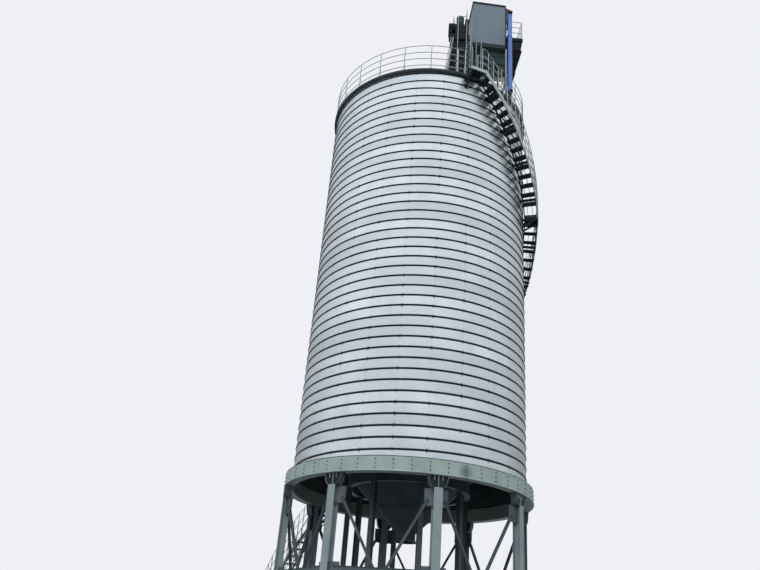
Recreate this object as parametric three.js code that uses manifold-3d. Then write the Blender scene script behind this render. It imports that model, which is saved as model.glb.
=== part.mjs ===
// Elevated grain silo: a round store of spiral-folded galvanised strip on a bolted ring
// girder and eight H-section legs, with a cone bottom, a low cone roof with a guardrail,
// a stair that winds round the shell, and the head equipment on the roof.
// Millimetres, +Z up, ground at z = 0, the origin on the silo's axis.
// Angles are in degrees from the front (-Y) and grow towards +X.
import * as THREE from "three";
import { mergeVertices } from "three/addons/utils/BufferGeometryUtils.js";
import Module from "manifold-3d";

const wasm = await Module();
wasm.setup();

// Clearance between pieces that rest on each other
const GAP = 0.3;
// One flat of a round wall, in degrees, and how many flats go round
const FACET = 7.5;
const ROUND = 360 / FACET;

// Shell of the store
const SHELL_R = 3937;
const SHELL_T = 12;
const SHELL_FOOT = 7200;
const SHELL_TOP = 22125;
const SHELL_PARTS = 8;

// Ring girder: a box section in line with the legs' outer faces
const RING_R = 4170;
const RING_FOOT = 6745;
const RING_WIDTH = 290;
const RING_PLATE = 20;
const RING_LIP = 15;
const RING_PARTS = 4;

// Legs: H-sections with the web on the radius
const LEG_COUNT = 8;
const LEG_FIRST = -33;
const LEG_FLANGE = 260;
const LEG_DEPTH = 250;
const LEG_PLATE = 16;
const LEG_AXIS_R = RING_R - LEG_DEPTH / 2;
const FOOT_WIDTH = 500;
const FOOT_DEPTH = 380;
const FOOT_PLATE = 30;
const HEAD_WIDTH = 600;
const HEAD_DROP = 375;
const HEAD_PLATE = 25;

// Wing plates on the legs, in the planes of the two bays that meet there
const WING_T = 16;
const WING_REACH = 380;
const TOP_WING = { low: 5870, high: 6370 };
const STRUT_WING = { low: 3830, high: 4240 };
const FOOT_WING = { low: 60, high: 560 };

// Bracing between two legs: a V, a strut and an inverted V on a centre plate
const BAY = 360 / LEG_COUNT;
const HALF_BAY = LEG_AXIS_R * Math.sin(rad(BAY / 2));
const BAY_R = LEG_AXIS_R * Math.cos(rad(BAY / 2));
const BRACE_DEPTH = 75;
const BRACE_WIDTH = 80;
const BRACE_END = 260;
const BRACE_TOP = 6080;
const BRACE_FOOT = 380;
const BRACE_CROSS = 3790;
const STRUT_Z = 4035;
const STRUT_DEPTH = 200;
const STRUT_END = 205;
const CROSS_PLATE = 560;

// Cone bottom inside the shell's skirt, its outlet and the frame that carries it
const CONE_TOP = 9300;
const CONE_PARTS = 4;
const CONE_T = 20;
const CONE_RIM = SHELL_R - SHELL_T - 2 * GAP;
const OUTLET_R = 320;
const CONE_FOOT = CONE_TOP - (CONE_RIM - OUTLET_R);
const COLLAR_DROP = 300;
const COLLAR_T = 16;
const FLANGE_WIDTH = 80;
const FLANGE_T = 20;
const INNER_R = 2000;
const INNER_BEAM = 200;
const INNER_BEAM_FOOT = 6950;
const INNER_POST = 160;
const INNER_FOOT_SIDE = 340;

// Eave and roof
const EAVE_R = 4050;
const EAVE_IN = 3850;
const EAVE_Z = 22215;
const ROOF_SLOPE = 15;
const ROOF_T = 30;
const CAP_R = 450;
const CAP_RISE = 200;

// Roof guardrail
const GUARD_R = 4000;
const GUARD_HEIGHTS = [205, 535, 855, 1195];
const GUARD_BAR = 40;
const GUARD_RAIL = 34;
const GUARD_TURN = 15;
const GATE_FROM = 17.7;
const GATE_TO = 26.2;
const GUARD_PARTS = 2;

// Stair round the shell: treads, two stringers, landings and brackets
const STAIR_IN = 4000;
const STAIR_OUT = 4540;
const LOW_STAIR_IN = 4240;
const LOW_STAIR_OUT = 4780;
const STRINGER_T = 12;
const STRINGER_UP = 30;
const STRINGER_DOWN = 150;
const RISERS = 16;
const STAIR_TOP = 22180;
const RISE = STAIR_TOP / (5 * RISERS);
const TREAD_OPEN = 0.2;
const TREAD_T = 40;
const BRACKET_ARM = 80;
const BRACKET_DROP = 560;
const TRESTLE_POST = 90;
const HAND_HEIGHTS = [360, 710, 1060];
const HAND_BAR = 32;
const HAND_RAIL = 36;
const HAND_POST_EVERY = 5;
const INNER_HEIGHTS = [530, 1060];
const INNER_POST_EVERY = 8;

// Each flight's first angle, its turn and the landing that it leaves from
const FLIGHTS = [
  { from: 27, turn: 49, landing: 8.2, inner: STAIR_IN, outer: STAIR_OUT },
  { from: 87, turn: 48, landing: 11, inner: STAIR_IN, outer: STAIR_OUT },
  { from: 135, turn: 49, landing: 0, inner: STAIR_IN, outer: STAIR_OUT },
  { from: 202, turn: 44, landing: 18, inner: LOW_STAIR_IN, outer: LOW_STAIR_OUT },
  { from: 246, turn: 44, landing: 0, inner: LOW_STAIR_IN, outer: LOW_STAIR_OUT },
];
const TRESTLES = [4, 10];
// The top landing's own rail is a short return beside the first step
const TOP_RETURN = 2.5;

// Head equipment, in a frame that is turned a little on the roof
const HEAD_TURN = 5;
const HOUSE = { left: 1385, right: 2760, front: -2680, back: -1300, low: 25150, high: 27415 };
const HOUSE_FALL = 58;
const HOUSE_ROOF_T = 60;
const CANOPY_OUT = 3075;
const CANOPY_DROP = 168;
const CANOPY_FALL = 112;
const HOPPER = { left: 1420, right: 3430, front: -2580, back: -1020, z: 24990 };
const HOPPER_RIM = 60;
const HOPPER_RIM_OUT = 45;
const HOPPER_OUT = { u: 3040, v: -2000, side: 290, flange: 490, z: 24080 };
const DECK = { left: 2790, right: 3520, front: -2620, back: -980, low: 25535, high: 25690 };
const DECK_RAILS = [310, 620, 930];
const FRAME_POST = 90;
const FRAME_U = [1385, 2800];
const FRAME_V = [-2640, -960];
const FRAME_BEAM_Z = 23250;

// Machine stand, conveyor head and motor beside the head house
const STAND_X = [640, 960, 1310];
const STAND_Y = [-3330, -2600];
const STAND_POST = 70;
const STAND_TOP = 25380;
const STAND_BEAMS = [22960, 23350, 23640, 24020];
const STAND_LEAN = 0.09;
const STAND_RAIL_POST = 40;
const STAND_RAILS = [25760, 26160];
const CASING = { left: 600, right: 1400, front: -3270, back: -2660, low: 24570, high: 25380 };
const GEARBOX = { left: 580, right: 870, front: -3190, back: -2760, low: 24860, high: 25500 };
const TRUNK_X = [800, 1135];
const TRUNK_T = 250;
const TRUNK_SIDE = 460;
const MOTOR = { x: 1055, y: -2960, r: 160, length: 470, base: 170 };

// Riser pipe outside the guardrail, clamped to the deck
const RISER = { x: 3130, y: -2830, r: 84, low: 22330, high: 26440 };
const RISER_FLANGE_R = 140;
const RISER_CLAMP_Z = 25612;

function rad(degrees) {
  return THREE.MathUtils.degToRad(degrees);
}

// A closed geometry as a solid whose faces point outwards.
function solid(geometry) {
  const bare = geometry.index ? geometry.toNonIndexed() : geometry.clone();
  bare.deleteAttribute("normal");
  bare.deleteAttribute("uv");
  const merged = mergeVertices(bare, 1e-3);
  const build = (triVerts) =>
    new wasm.Manifold(
      new wasm.Mesh({ numProp: 3, vertProperties: merged.attributes.position.array, triVerts }),
    );
  const order = new Uint32Array(merged.index.array);
  const made = build(order);
  return made.volume() > 0 ? made : build(order.reverse());
}

function union(shapes) {
  return shapes.reduce((all, shape) => all.add(shape));
}

// A box given by its two corners.
function block(x0, y0, z0, x1, y1, z1) {
  const box = new THREE.BoxGeometry(x1 - x0, y1 - y0, z1 - z0);
  box.translate((x0 + x1) / 2, (y0 + y1) / 2, (z0 + z1) / 2);
  return solid(box);
}

// A bar between two points, with its width kept level.
function bar(from, to, depth, width = depth) {
  const run = new THREE.Vector3().subVectors(to, from);
  const box = new THREE.BoxGeometry(width, run.length(), depth);
  const along = run.clone().normalize();
  const side = new THREE.Vector3(0, 0, 1).cross(along);
  if (side.length() < 1e-6) side.set(1, 0, 0);
  side.normalize();
  const up = new THREE.Vector3().crossVectors(side, along);
  box.applyMatrix4(new THREE.Matrix4().makeBasis(side, along, up));
  box.translate(...from.clone().add(to).divideScalar(2).toArray());
  return solid(box);
}

// Bends a straight geometry round the axis: x is an angle, y a radius and z a height.
// Past the start, each degree lowers the piece by the fall and widens it by the spread.
function wrap(geometry, start = 0, fall = 0, spread = 0) {
  const p = geometry.attributes.position;
  for (let i = 0; i < p.count; i += 1) {
    const angle = p.getX(i);
    const radius = p.getY(i) + spread * (angle - start);
    const height = p.getZ(i) - fall * (angle - start);
    p.setXYZ(i, radius * Math.sin(rad(angle)), -radius * Math.cos(rad(angle)), height);
  }
  return geometry;
}

// A curved bar of rectangular section between two angles.
function arcBar({ from, to, inner, outer, low, high, steps = 1, fall = 0, spread = 0 }) {
  const box = new THREE.BoxGeometry(to - from, outer - inner, high - low, steps, 1, 1);
  box.translate((from + to) / 2, (inner + outer) / 2, (low + high) / 2);
  return solid(wrap(box, from, fall, spread));
}

// A shape drawn in radius and height, run round the axis between two angles.
function arcSection(shape, from, to, steps) {
  const run = new THREE.ExtrudeGeometry(shape, { depth: to - from, steps, bevelEnabled: false });
  run.applyMatrix4(new THREE.Matrix4().set(0, 0, 1, from, 1, 0, 0, 0, 0, 1, 0, 0, 0, 0, 0, 1));
  return solid(wrap(run));
}

// The same solid turned round the axis.
function turn(shape, degrees) {
  return shape.rotate([0, 0, degrees]);
}

// A profile of [radius, height] pairs turned once round the axis, with its flats
// in line with the shell's.
function turned(profile, segments = ROUND) {
  const lathe = new THREE.LatheGeometry(
    profile.map(([r, z]) => new THREE.Vector2(r, z)),
    segments,
  );
  lathe.rotateX(Math.PI / 2);
  return turn(solid(lathe), LEG_FIRST);
}

function outline(points) {
  return new THREE.Shape(points.map(([x, y]) => new THREE.Vector2(x, y)));
}

// A flat plate drawn in x and z that starts at a given y and runs towards -y.
function plate(shape, y, thickness, curveSegments = 3) {
  const flat = new THREE.ExtrudeGeometry(shape, {
    depth: thickness,
    bevelEnabled: false,
    curveSegments,
  });
  flat.rotateX(Math.PI / 2);
  flat.translate(0, y, 0);
  return solid(flat);
}

const paint = (color, roughness, metalness = 0) =>
  new THREE.MeshStandardMaterial({ color, roughness, metalness });
const LOOK = {
  strip: paint(0xc9d4dc, 0.42, 0.75),
  girder: paint(0x7f8c8c, 0.55),
  leg: paint(0x8b9aa1, 0.5),
  brace: paint(0x5c686b, 0.55),
  cone: paint(0x8e979b, 0.5, 0.7),
  roof: paint(0x606568, 0.55, 0.5),
  rail: paint(0x9fa9ad, 0.4, 0.7),
  stair: paint(0x97a3a8, 0.5),
  cladding: paint(0x64727f, 0.5, 0.2),
  hopper: paint(0x323a40, 0.55),
  machine: paint(0x3f4344, 0.6, 0.3),
  motor: paint(0x55706c, 0.5),
  pipe: paint(0x546da1, 0.45),
};

const silo = new THREE.Group();
const head = new THREE.Group();
head.rotation.z = rad(HEAD_TURN);
silo.add(head);

// A named mesh made from a solid.
function piece(parent, name, shape, look) {
  const { numProp, numVert, vertProperties, triVerts } = shape.getMesh();
  const points = new Float32Array(numVert * 3);
  for (let i = 0; i < numVert; i += 1) {
    points.set(vertProperties.subarray(i * numProp, i * numProp + 3), i * 3);
  }
  const geometry = new THREE.BufferGeometry();
  geometry.setAttribute("position", new THREE.BufferAttribute(points, 3));
  geometry.setIndex(new THREE.BufferAttribute(triVerts, 1));
  const mesh = new THREE.Mesh(geometry, look);
  mesh.name = name;
  parent.add(mesh);
  return mesh;
}

// Copies of one piece, turned round the axis.
function pieceRound(name, count, first, shape, look) {
  for (let i = 0; i < count; i += 1) {
    const mesh = piece(silo, `${name}_${i + 1}`, shape, look);
    mesh.rotation.z = rad(first + (i * 360) / count);
  }
}

// Half the turn of one of several equal parts, a hair short so that they clear.
function halfTurn(parts, radius) {
  return 180 / parts - THREE.MathUtils.radToDeg(GAP / radius);
}

// Shell: one part of the wall
function shellPart() {
  const half = halfTurn(SHELL_PARTS, SHELL_R);
  return arcBar({
    from: -half,
    to: half,
    inner: SHELL_R - SHELL_T,
    outer: SHELL_R,
    low: SHELL_FOOT + GAP,
    high: SHELL_TOP,
    steps: 360 / SHELL_PARTS / FACET,
  });
}

// Ring girder: a box section with a lower lip, open at its splices
function ringPart() {
  const inner = RING_R - RING_WIDTH;
  const section = outline([
    [inner, RING_FOOT],
    [RING_R + RING_LIP, RING_FOOT],
    [RING_R + RING_LIP, RING_FOOT + RING_PLATE],
    [RING_R, RING_FOOT + RING_PLATE],
    [RING_R, SHELL_FOOT],
    [inner, SHELL_FOOT],
  ]);
  const hollow = outline([
    [inner + RING_PLATE, RING_FOOT + RING_PLATE],
    [inner + RING_PLATE, SHELL_FOOT - RING_PLATE],
    [RING_R - RING_PLATE, SHELL_FOOT - RING_PLATE],
    [RING_R - RING_PLATE, RING_FOOT + RING_PLATE],
  ]);
  section.holes.push(hollow);
  const half = halfTurn(RING_PARTS, RING_R);
  return arcSection(section, -half, half, 360 / RING_PARTS / FACET);
}

// A wing plate that leaves the leg's axis along x; grown, it is the slot for it.
function wing(side, { low, high }, grow = 0) {
  const near = side > 0 ? -grow : -WING_REACH - grow;
  const far = side > 0 ? WING_REACH + grow : grow;
  const thick = WING_T / 2 + grow;
  return block(near, -thick, low - grow, far, thick, high + grow);
}

// Leg, modelled at the front: base plate, H-section, wings and a cup-shaped head
function legShape() {
  const half = LEG_FLANGE / 2;
  const deep = LEG_DEPTH / 2;
  const top = RING_FOOT - GAP;
  const footX = FOOT_WIDTH / 2;
  const footY = FOOT_DEPTH / 2;
  const wide = HEAD_WIDTH / 2;
  const flare = new THREE.Shape();
  flare.moveTo(-half, top - HEAD_DROP);
  flare.quadraticCurveTo(-wide + 38, top - HEAD_DROP + 3, -wide, top - 1);
  flare.lineTo(wide, top - 1);
  flare.quadraticCurveTo(wide - 38, top - HEAD_DROP + 3, half, top - HEAD_DROP);
  const parts = [
    block(-half, -deep, 1, half, -deep + LEG_PLATE, top - 1),
    block(-half, deep - LEG_PLATE, 1, half, deep, top - 1),
    block(-LEG_PLATE / 2, -deep, 1, LEG_PLATE / 2, deep, top - 1),
    block(-footX, -footY, 0, footX, footY, FOOT_PLATE),
    block(-wide, -deep, top - HEAD_PLATE, wide, deep, top),
    plate(flare, -deep + LEG_PLATE, LEG_PLATE),
    plate(flare, deep, LEG_PLATE),
  ];
  [-1, 1].forEach((side) => {
    [TOP_WING, STRUT_WING, FOOT_WING].forEach((span) => {
      parts.push(turn(wing(side, span), (side * BAY) / 2));
    });
  });
  return union(parts).translate([0, -LEG_AXIS_R, 0]);
}

// Bracing of one bay, modelled at the front: its bars are slotted over the legs' wings
function bracingShape() {
  const at = (x, z) => new THREE.Vector3(x, 0, z);
  const strut = HALF_BAY - STRUT_END;
  const reach = HALF_BAY - BRACE_END;
  const cross = CROSS_PLATE / 2;
  const parts = [
    bar(at(-strut, STRUT_Z), at(strut, STRUT_Z), STRUT_DEPTH, BRACE_WIDTH),
    block(-cross, -WING_T / 2, BRACE_CROSS - cross, cross, WING_T / 2, BRACE_CROSS + cross),
  ];
  [-1, 1].forEach((side) => {
    parts.push(bar(at(side * reach, BRACE_TOP), at(0, BRACE_CROSS), BRACE_DEPTH, BRACE_WIDTH));
    parts.push(bar(at(side * reach, BRACE_FOOT), at(0, BRACE_CROSS), BRACE_DEPTH, BRACE_WIDTH));
  });
  const slots = [-1, 1].flatMap((side) =>
    [TOP_WING, STRUT_WING, FOOT_WING].map((span) =>
      wing(side, span, GAP).translate([-side * HALF_BAY, 0, 0]),
    ),
  );
  return union(parts).subtract(union(slots)).translate([0, -BAY_R, 0]);
}

// Cone bottom: a quarter of the cone, hung inside the shell
function conePart() {
  const section = outline([
    [OUTLET_R, CONE_FOOT - CONE_T],
    [CONE_RIM, CONE_TOP - CONE_T],
    [CONE_RIM, CONE_TOP],
    [OUTLET_R, CONE_FOOT],
  ]);
  const half = 180 / CONE_PARTS - 0.03;
  return arcSection(section, -half, half, 360 / CONE_PARTS / FACET);
}

// Outlet collar with the flange that a gate or spout bolts to
function outletShape() {
  const segments = 16;
  const top = CONE_FOOT + 10;
  const foot = CONE_FOOT - COLLAR_DROP;
  const outer = (OUTLET_R - GAP) * Math.cos(rad(FACET / 2));
  return turned(
    [
      [outer - COLLAR_T, foot],
      [OUTLET_R + FLANGE_WIDTH, foot],
      [OUTLET_R + FLANGE_WIDTH, foot + FLANGE_T],
      [outer, foot + FLANGE_T],
      [outer, top],
      [outer - COLLAR_T, top],
      [outer - COLLAR_T, foot],
    ],
    segments,
  );
}

// Inner frame: a ring beam shaped to the cone's underside, on eight posts
function innerFrameShape() {
  const inner = INNER_R - INNER_BEAM / 2;
  const outer = INNER_R + INNER_BEAM / 2;
  const under = (r) => CONE_FOOT - CONE_T + (r - OUTLET_R) - 2 * GAP;
  const ring = turned([
    [inner, INNER_BEAM_FOOT],
    [outer, INNER_BEAM_FOOT],
    [outer, under(outer)],
    [inner, under(inner)],
    [inner, INNER_BEAM_FOOT],
  ]);
  const half = INNER_POST / 2;
  const sole = INNER_FOOT_SIDE / 2;
  const post = block(-half, -half, 1, half, half, INNER_BEAM_FOOT + 50)
    .add(block(-sole, -sole, 0, sole, sole, FOOT_PLATE))
    .translate([0, -INNER_R, 0]);
  const posts = [];
  for (let i = 0; i < LEG_COUNT; i += 1) posts.push(turn(post, LEG_FIRST + i * BAY));
  return union([ring, ...posts]);
}

function roofRise(r) {
  return Math.max(0, EAVE_R - r) * Math.tan(rad(ROOF_SLOPE));
}

// Roof: eave ring and low cone in one skin, flat in the middle
function roofShape() {
  const capFoot = EAVE_Z + roofRise(CAP_R);
  return turned([
    [0, capFoot - ROOF_T],
    [CAP_R, capFoot - ROOF_T],
    [EAVE_IN, EAVE_Z + roofRise(EAVE_IN) - ROOF_T],
    [EAVE_IN, SHELL_TOP + GAP],
    [EAVE_R, SHELL_TOP + GAP],
    [EAVE_R, EAVE_Z],
    [CAP_R, capFoot],
    [0, capFoot],
  ]);
}

// Cap on the middle of the roof
function capShape() {
  const foot = EAVE_Z + roofRise(CAP_R) + GAP;
  return turned([
    [0, foot],
    [CAP_R, foot],
    [CAP_R, foot + CAP_RISE],
    [0, foot + CAP_RISE + 60],
  ]);
}

// Everything below the roof's upper face, with the clearance added
const belowRoof = turned([
  [0, SHELL_FOOT],
  [EAVE_R + GAP, SHELL_FOOT],
  [EAVE_R + GAP, EAVE_Z + GAP],
  [CAP_R + GAP, EAVE_Z + GAP + roofRise(CAP_R)],
  [0, EAVE_Z + GAP + roofRise(CAP_R)],
]);

// Girder, shell and eave as one core, with the clearance added
const core = turned([
  [0, RING_FOOT - GAP],
  [RING_R + RING_LIP + GAP, RING_FOOT - GAP],
  [RING_R + RING_LIP + GAP, RING_FOOT + RING_PLATE + GAP],
  [RING_R + GAP, RING_FOOT + RING_PLATE + GAP],
  [RING_R + GAP, SHELL_FOOT + GAP],
  [SHELL_R + GAP, SHELL_FOOT + GAP],
  [SHELL_R + GAP, SHELL_TOP],
  [EAVE_R + GAP, SHELL_TOP],
  [EAVE_R + GAP, EAVE_Z + GAP],
  [0, EAVE_Z + GAP],
]);

// Everything below the ground
const belowGround = block(-6000, -6000, -3000, 6000, 6000, 0);

// Roof guardrail: posts on the eave with four rails, open at the stair
function guardPart(from, to, bays) {
  const half = GUARD_RAIL / 2;
  const bit = GUARD_BAR / 2;
  const step = (to - from) / bays;
  const top = EAVE_Z + GUARD_HEIGHTS[3] + half;
  const parts = GUARD_HEIGHTS.map((height) =>
    arcBar({
      from,
      to,
      inner: GUARD_R - half,
      outer: GUARD_R + half,
      low: EAVE_Z + height - half,
      high: EAVE_Z + height + half,
      steps: bays,
    }),
  );
  for (let i = 0; i <= bays; i += 1) {
    const post = block(-bit, -bit, EAVE_Z + GAP, bit, bit, top);
    parts.push(turn(post.translate([0, -GUARD_R, 0]), from + i * step));
  }
  return union(parts).subtract(belowRoof);
}

function addGuardrail() {
  const whole = GATE_FROM + 360 - GATE_TO;
  const clear = 0.7;
  const each = (whole - (GUARD_PARTS - 1) * clear) / GUARD_PARTS;
  const bays = Math.round(each / GUARD_TURN);
  for (let i = 0; i < GUARD_PARTS; i += 1) {
    const from = GATE_TO + i * (each + clear);
    piece(silo, `roof_guardrail_${i + 1}`, guardPart(from, from + each, bays), LOOK.rail);
  }
}

// Two stringers or other strips on the edges of a stretch of stair
function edges({ from, to, inner, outer, z, fall = 0, spread = 0 }) {
  const line = { from, to, low: z - STRINGER_DOWN, high: z + STRINGER_UP, fall };
  const steps = Math.max(1, Math.round((to - from) / FACET));
  return [
    arcBar({ ...line, inner, outer: inner + STRINGER_T, steps }),
    arcBar({ ...line, inner: outer - STRINGER_T, outer, steps, spread }),
  ];
}

// A flat plate between the stringers
function stepPlate({ from, to, inner, outer, z, thickness = TREAD_T }) {
  return arcBar({
    from,
    to,
    inner: inner + STRINGER_T / 2,
    outer: outer - STRINGER_T / 2,
    low: z - thickness,
    high: z,
    steps: Math.max(1, Math.round((to - from) / FACET)),
  });
}

// Wall bracket: an arm under the stringers and, at a landing, a strut back to the wall
function wallBracket(angle, z, wall, outer, braced) {
  const half = BRACKET_ARM / 2;
  const under = z - STRINGER_DOWN + 20;
  const foot = Math.min(BRACKET_DROP, 0.8 * (outer - wall));
  const arm = block(-half, -outer, under - BRACKET_ARM, half, -wall + 40, under);
  if (!braced) return turn(arm, angle);
  const strut = bar(
    new THREE.Vector3(0, -outer + 120, under - half),
    new THREE.Vector3(0, -wall + 40, under - foot),
    60,
    60,
  );
  return turn(arm.add(strut), angle);
}

// Trestle: two posts and a cross-beam that carry the stair below the girder
function trestle(angle, z, inner, outer) {
  const half = TRESTLE_POST / 2;
  const under = z - STRINGER_DOWN + 20;
  const parts = [block(-half, -outer, under - TRESTLE_POST, half, -inner, under)];
  [inner + half, outer - half].forEach((r) => {
    parts.push(block(-half, -r - half, 1, half, -r + half, under));
    parts.push(block(-half - 50, -r - half, 0, half + 50, -r + half, FOOT_PLATE));
  });
  return turn(union(parts), angle);
}

// What carries the stair at an angle: an arm on the shell or on the girder, if any
function support(angle, z, outer, braced) {
  const arm = z - STRINGER_DOWN - BRACKET_ARM;
  if (arm - BRACKET_DROP > SHELL_FOOT) return wallBracket(angle, z, SHELL_R, outer, braced);
  if (arm - 60 > RING_FOOT && arm < SHELL_FOOT - 60) {
    return wallBracket(angle, z, RING_R, outer, braced);
  }
  return null;
}

// One flight of sixteen risers, with the landing that it leaves from
function flightShape(flight, index) {
  const { from, turn: sweep, landing, inner, outer } = flight;
  const z = STAIR_TOP - index * RISERS * RISE;
  const step = sweep / RISERS;
  const last = index === FLIGHTS.length - 1;
  const line = { inner, outer };
  const parts = edges({ ...line, from, to: from + sweep - (last ? 0 : 0.004), z, fall: RISE / step });
  for (let k = 1; k < RISERS; k += 1) {
    const a = from + (k - 1) * step + TREAD_OPEN / 2;
    parts.push(stepPlate({ ...line, from: a, to: a + step - TREAD_OPEN, z: z - k * RISE }));
  }
  const bearings = [2, 6, 10, 14].map((k) => ({ at: from + k * step, z: z - k * RISE }));
  if (landing > 0) {
    parts.push(...landingShapes(flight, index, z));
    bearings.push({ at: from - landing + 1, z, braced: true });
    if (landing > 10) bearings.push({ at: from - landing / 2, z, braced: true });
  }
  bearings.forEach((b) => {
    const held = support(b.at, b.z, widthAt(flight, b.at), b.braced);
    if (held) parts.push(held);
  });
  if (z < SHELL_FOOT + 2000) {
    TRESTLES.forEach((k) => {
      const height = z - k * RISE;
      if (height < RING_FOOT) parts.push(trestle(from + k * step, height, inner, outer));
    });
  }
  return union(parts).subtract(core).subtract(belowGround);
}

// The stair's outer radius at an angle, also on a landing that widens
function widthAt({ from, landing, outer }, angle) {
  if (angle >= from || outer === STAIR_OUT) return outer;
  return STAIR_OUT + ((outer - STAIR_OUT) * (angle - from + landing)) / landing;
}

// Landing: plate, edge channels and end beams
function landingShapes({ from, landing, outer }, index, z) {
  const first = from - landing;
  const inner = index === 0 ? EAVE_R + 2 : STAIR_IN;
  const spread = (outer - STAIR_OUT) / landing;
  const beam = 0.9;
  const near = STAIR_OUT - STRINGER_T / 2;
  const ends = [
    { a: first, b: first + beam, reach: near },
    { a: from - beam, b: from + 0.2, reach: near + spread * (landing - beam) },
  ];
  const deck = arcBar({
    from: first + 0.05,
    to: from + 0.1,
    inner: inner + STRINGER_T / 2,
    outer: near,
    low: z - TREAD_T,
    high: z,
    steps: Math.max(1, Math.round(landing / FACET)),
  });
  const parts = [
    ...edges({ from: first, to: from + 0.02, inner, outer: STAIR_OUT, z, spread }),
    spread > 0 ? wideDeck(first, from, inner, z, spread) : deck,
  ];
  ends.forEach(({ a, b, reach }) => {
    const low = z - STRINGER_DOWN + 20;
    parts.push(arcBar({ from: a, to: b, inner: inner + 4, outer: reach, low, high: z - 5 }));
  });
  return parts;
}

// Deck whose outer edge moves out along its run
function wideDeck(first, from, inner, z, spread) {
  const steps = 2;
  const box = new THREE.BoxGeometry(from - first, 1, TREAD_T, steps, 1, 1);
  box.translate((first + from) / 2, 0, z - TREAD_T / 2);
  const p = box.attributes.position;
  for (let i = 0; i < p.count; i += 1) {
    const out = STAIR_OUT - STRINGER_T / 2 + spread * (p.getX(i) - first);
    p.setY(i, p.getY(i) > 0 ? out : inner + STRINGER_T / 2);
  }
  return solid(wrap(box));
}

// Handrail along one side of a flight and its landing
function handrailShape(flight, index, outside) {
  const { from, turn: sweep, landing, inner, outer } = flight;
  const z = STAIR_TOP - index * RISERS * RISE;
  const step = sweep / RISERS;
  const fall = RISE / step;
  const half = HAND_RAIL / 2;
  const bit = HAND_BAR / 2;
  const middle = outside ? outer - STRINGER_T / 2 : inner + STRINGER_T / 2;
  const slope = 1.02 * RISE / (middle * Math.sin(rad(step)));
  const heights = outside ? HAND_HEIGHTS : INNER_HEIGHTS;
  const every = outside ? HAND_POST_EVERY : INNER_POST_EVERY;
  const parts = [];
  const rail = (line) =>
    heights.forEach((height) => {
      const low = z + height - half;
      const steps = Math.max(1, Math.round((line.to - line.from) / FACET));
      parts.push(arcBar({ ...line, low, high: low + HAND_RAIL, steps }));
    });
  const post = (at, height, radius) => {
    const rise = radius === middle ? bit * slope : 0;
    const low = Math.max(0, height + STRINGER_UP + rise) + GAP;
    const stand = block(-bit, -bit, low, bit, bit, height + HAND_HEIGHTS[2] + bit);
    parts.push(turn(stand.translate([0, -radius, 0]), at));
  };
  const shift = 0.5;
  rail({ from, to: from + sweep - shift, inner: middle - half, outer: middle + half, fall });
  for (let k = shift; k < RISERS - 1; k += every) {
    post(from + k * step, z - k * RISE, middle);
  }
  post(from + sweep - shift, z - fall * (sweep - shift), middle);
  if (landing > 0 && outside) {
    const run = index === 0 ? TOP_RETURN : landing;
    const first = from - run;
    const near = STAIR_OUT - STRINGER_T / 2;
    const spread = (outer - STAIR_OUT) / landing;
    rail({ from: first, to: from + 0.1, inner: near - half, outer: near + half, spread });
    const stands = index === 0 ? [0.3] : [0.4, landing / 2];
    stands.forEach((a) => post(first + a, z, near + spread * a));
  }
  return union(parts);
}

function addStair() {
  FLIGHTS.forEach((flight, i) => {
    piece(silo, `stair_flight_${i + 1}`, flightShape(flight, i), LOOK.stair);
    piece(silo, `stair_handrail_${i + 1}`, handrailShape(flight, i, true), LOOK.rail);
    if (flight.inner === LOW_STAIR_IN) {
      piece(silo, `stair_inner_rail_${i + 1}`, handrailShape(flight, i, false), LOOK.rail);
    }
  });
}

// Head house: clad box with a low single-pitch roof and a canopy over the deck
function addHeadHouse() {
  const h = HOUSE;
  const walls = outline([
    [h.left, h.low],
    [h.right, h.low],
    [h.right, h.high - HOUSE_FALL - GAP],
    [h.left, h.high - GAP],
  ]);
  piece(head, "head_house", plate(walls, h.back, h.back - h.front), LOOK.cladding);
  const edge = h.high - HOUSE_FALL;
  const left = h.left - 30;
  const wall = h.right + GAP;
  const slope = HOUSE_FALL / (h.right - h.left);
  const canopy = edge + HOUSE_ROOF_T - CANOPY_DROP;
  const fold = outline([
    [left, h.high + 30 * slope],
    [wall, edge],
    [wall, canopy - HOUSE_ROOF_T],
    [CANOPY_OUT, canopy - CANOPY_FALL - HOUSE_ROOF_T],
    [CANOPY_OUT, canopy - CANOPY_FALL],
    [wall + 30, canopy],
    [wall + 30, edge + HOUSE_ROOF_T],
    [left, h.high + 30 * slope + HOUSE_ROOF_T],
  ]);
  const roof = plate(fold, h.back + 30, h.back - h.front + 60);
  piece(head, "head_house_roof", roof, LOOK.roof);
}

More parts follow.
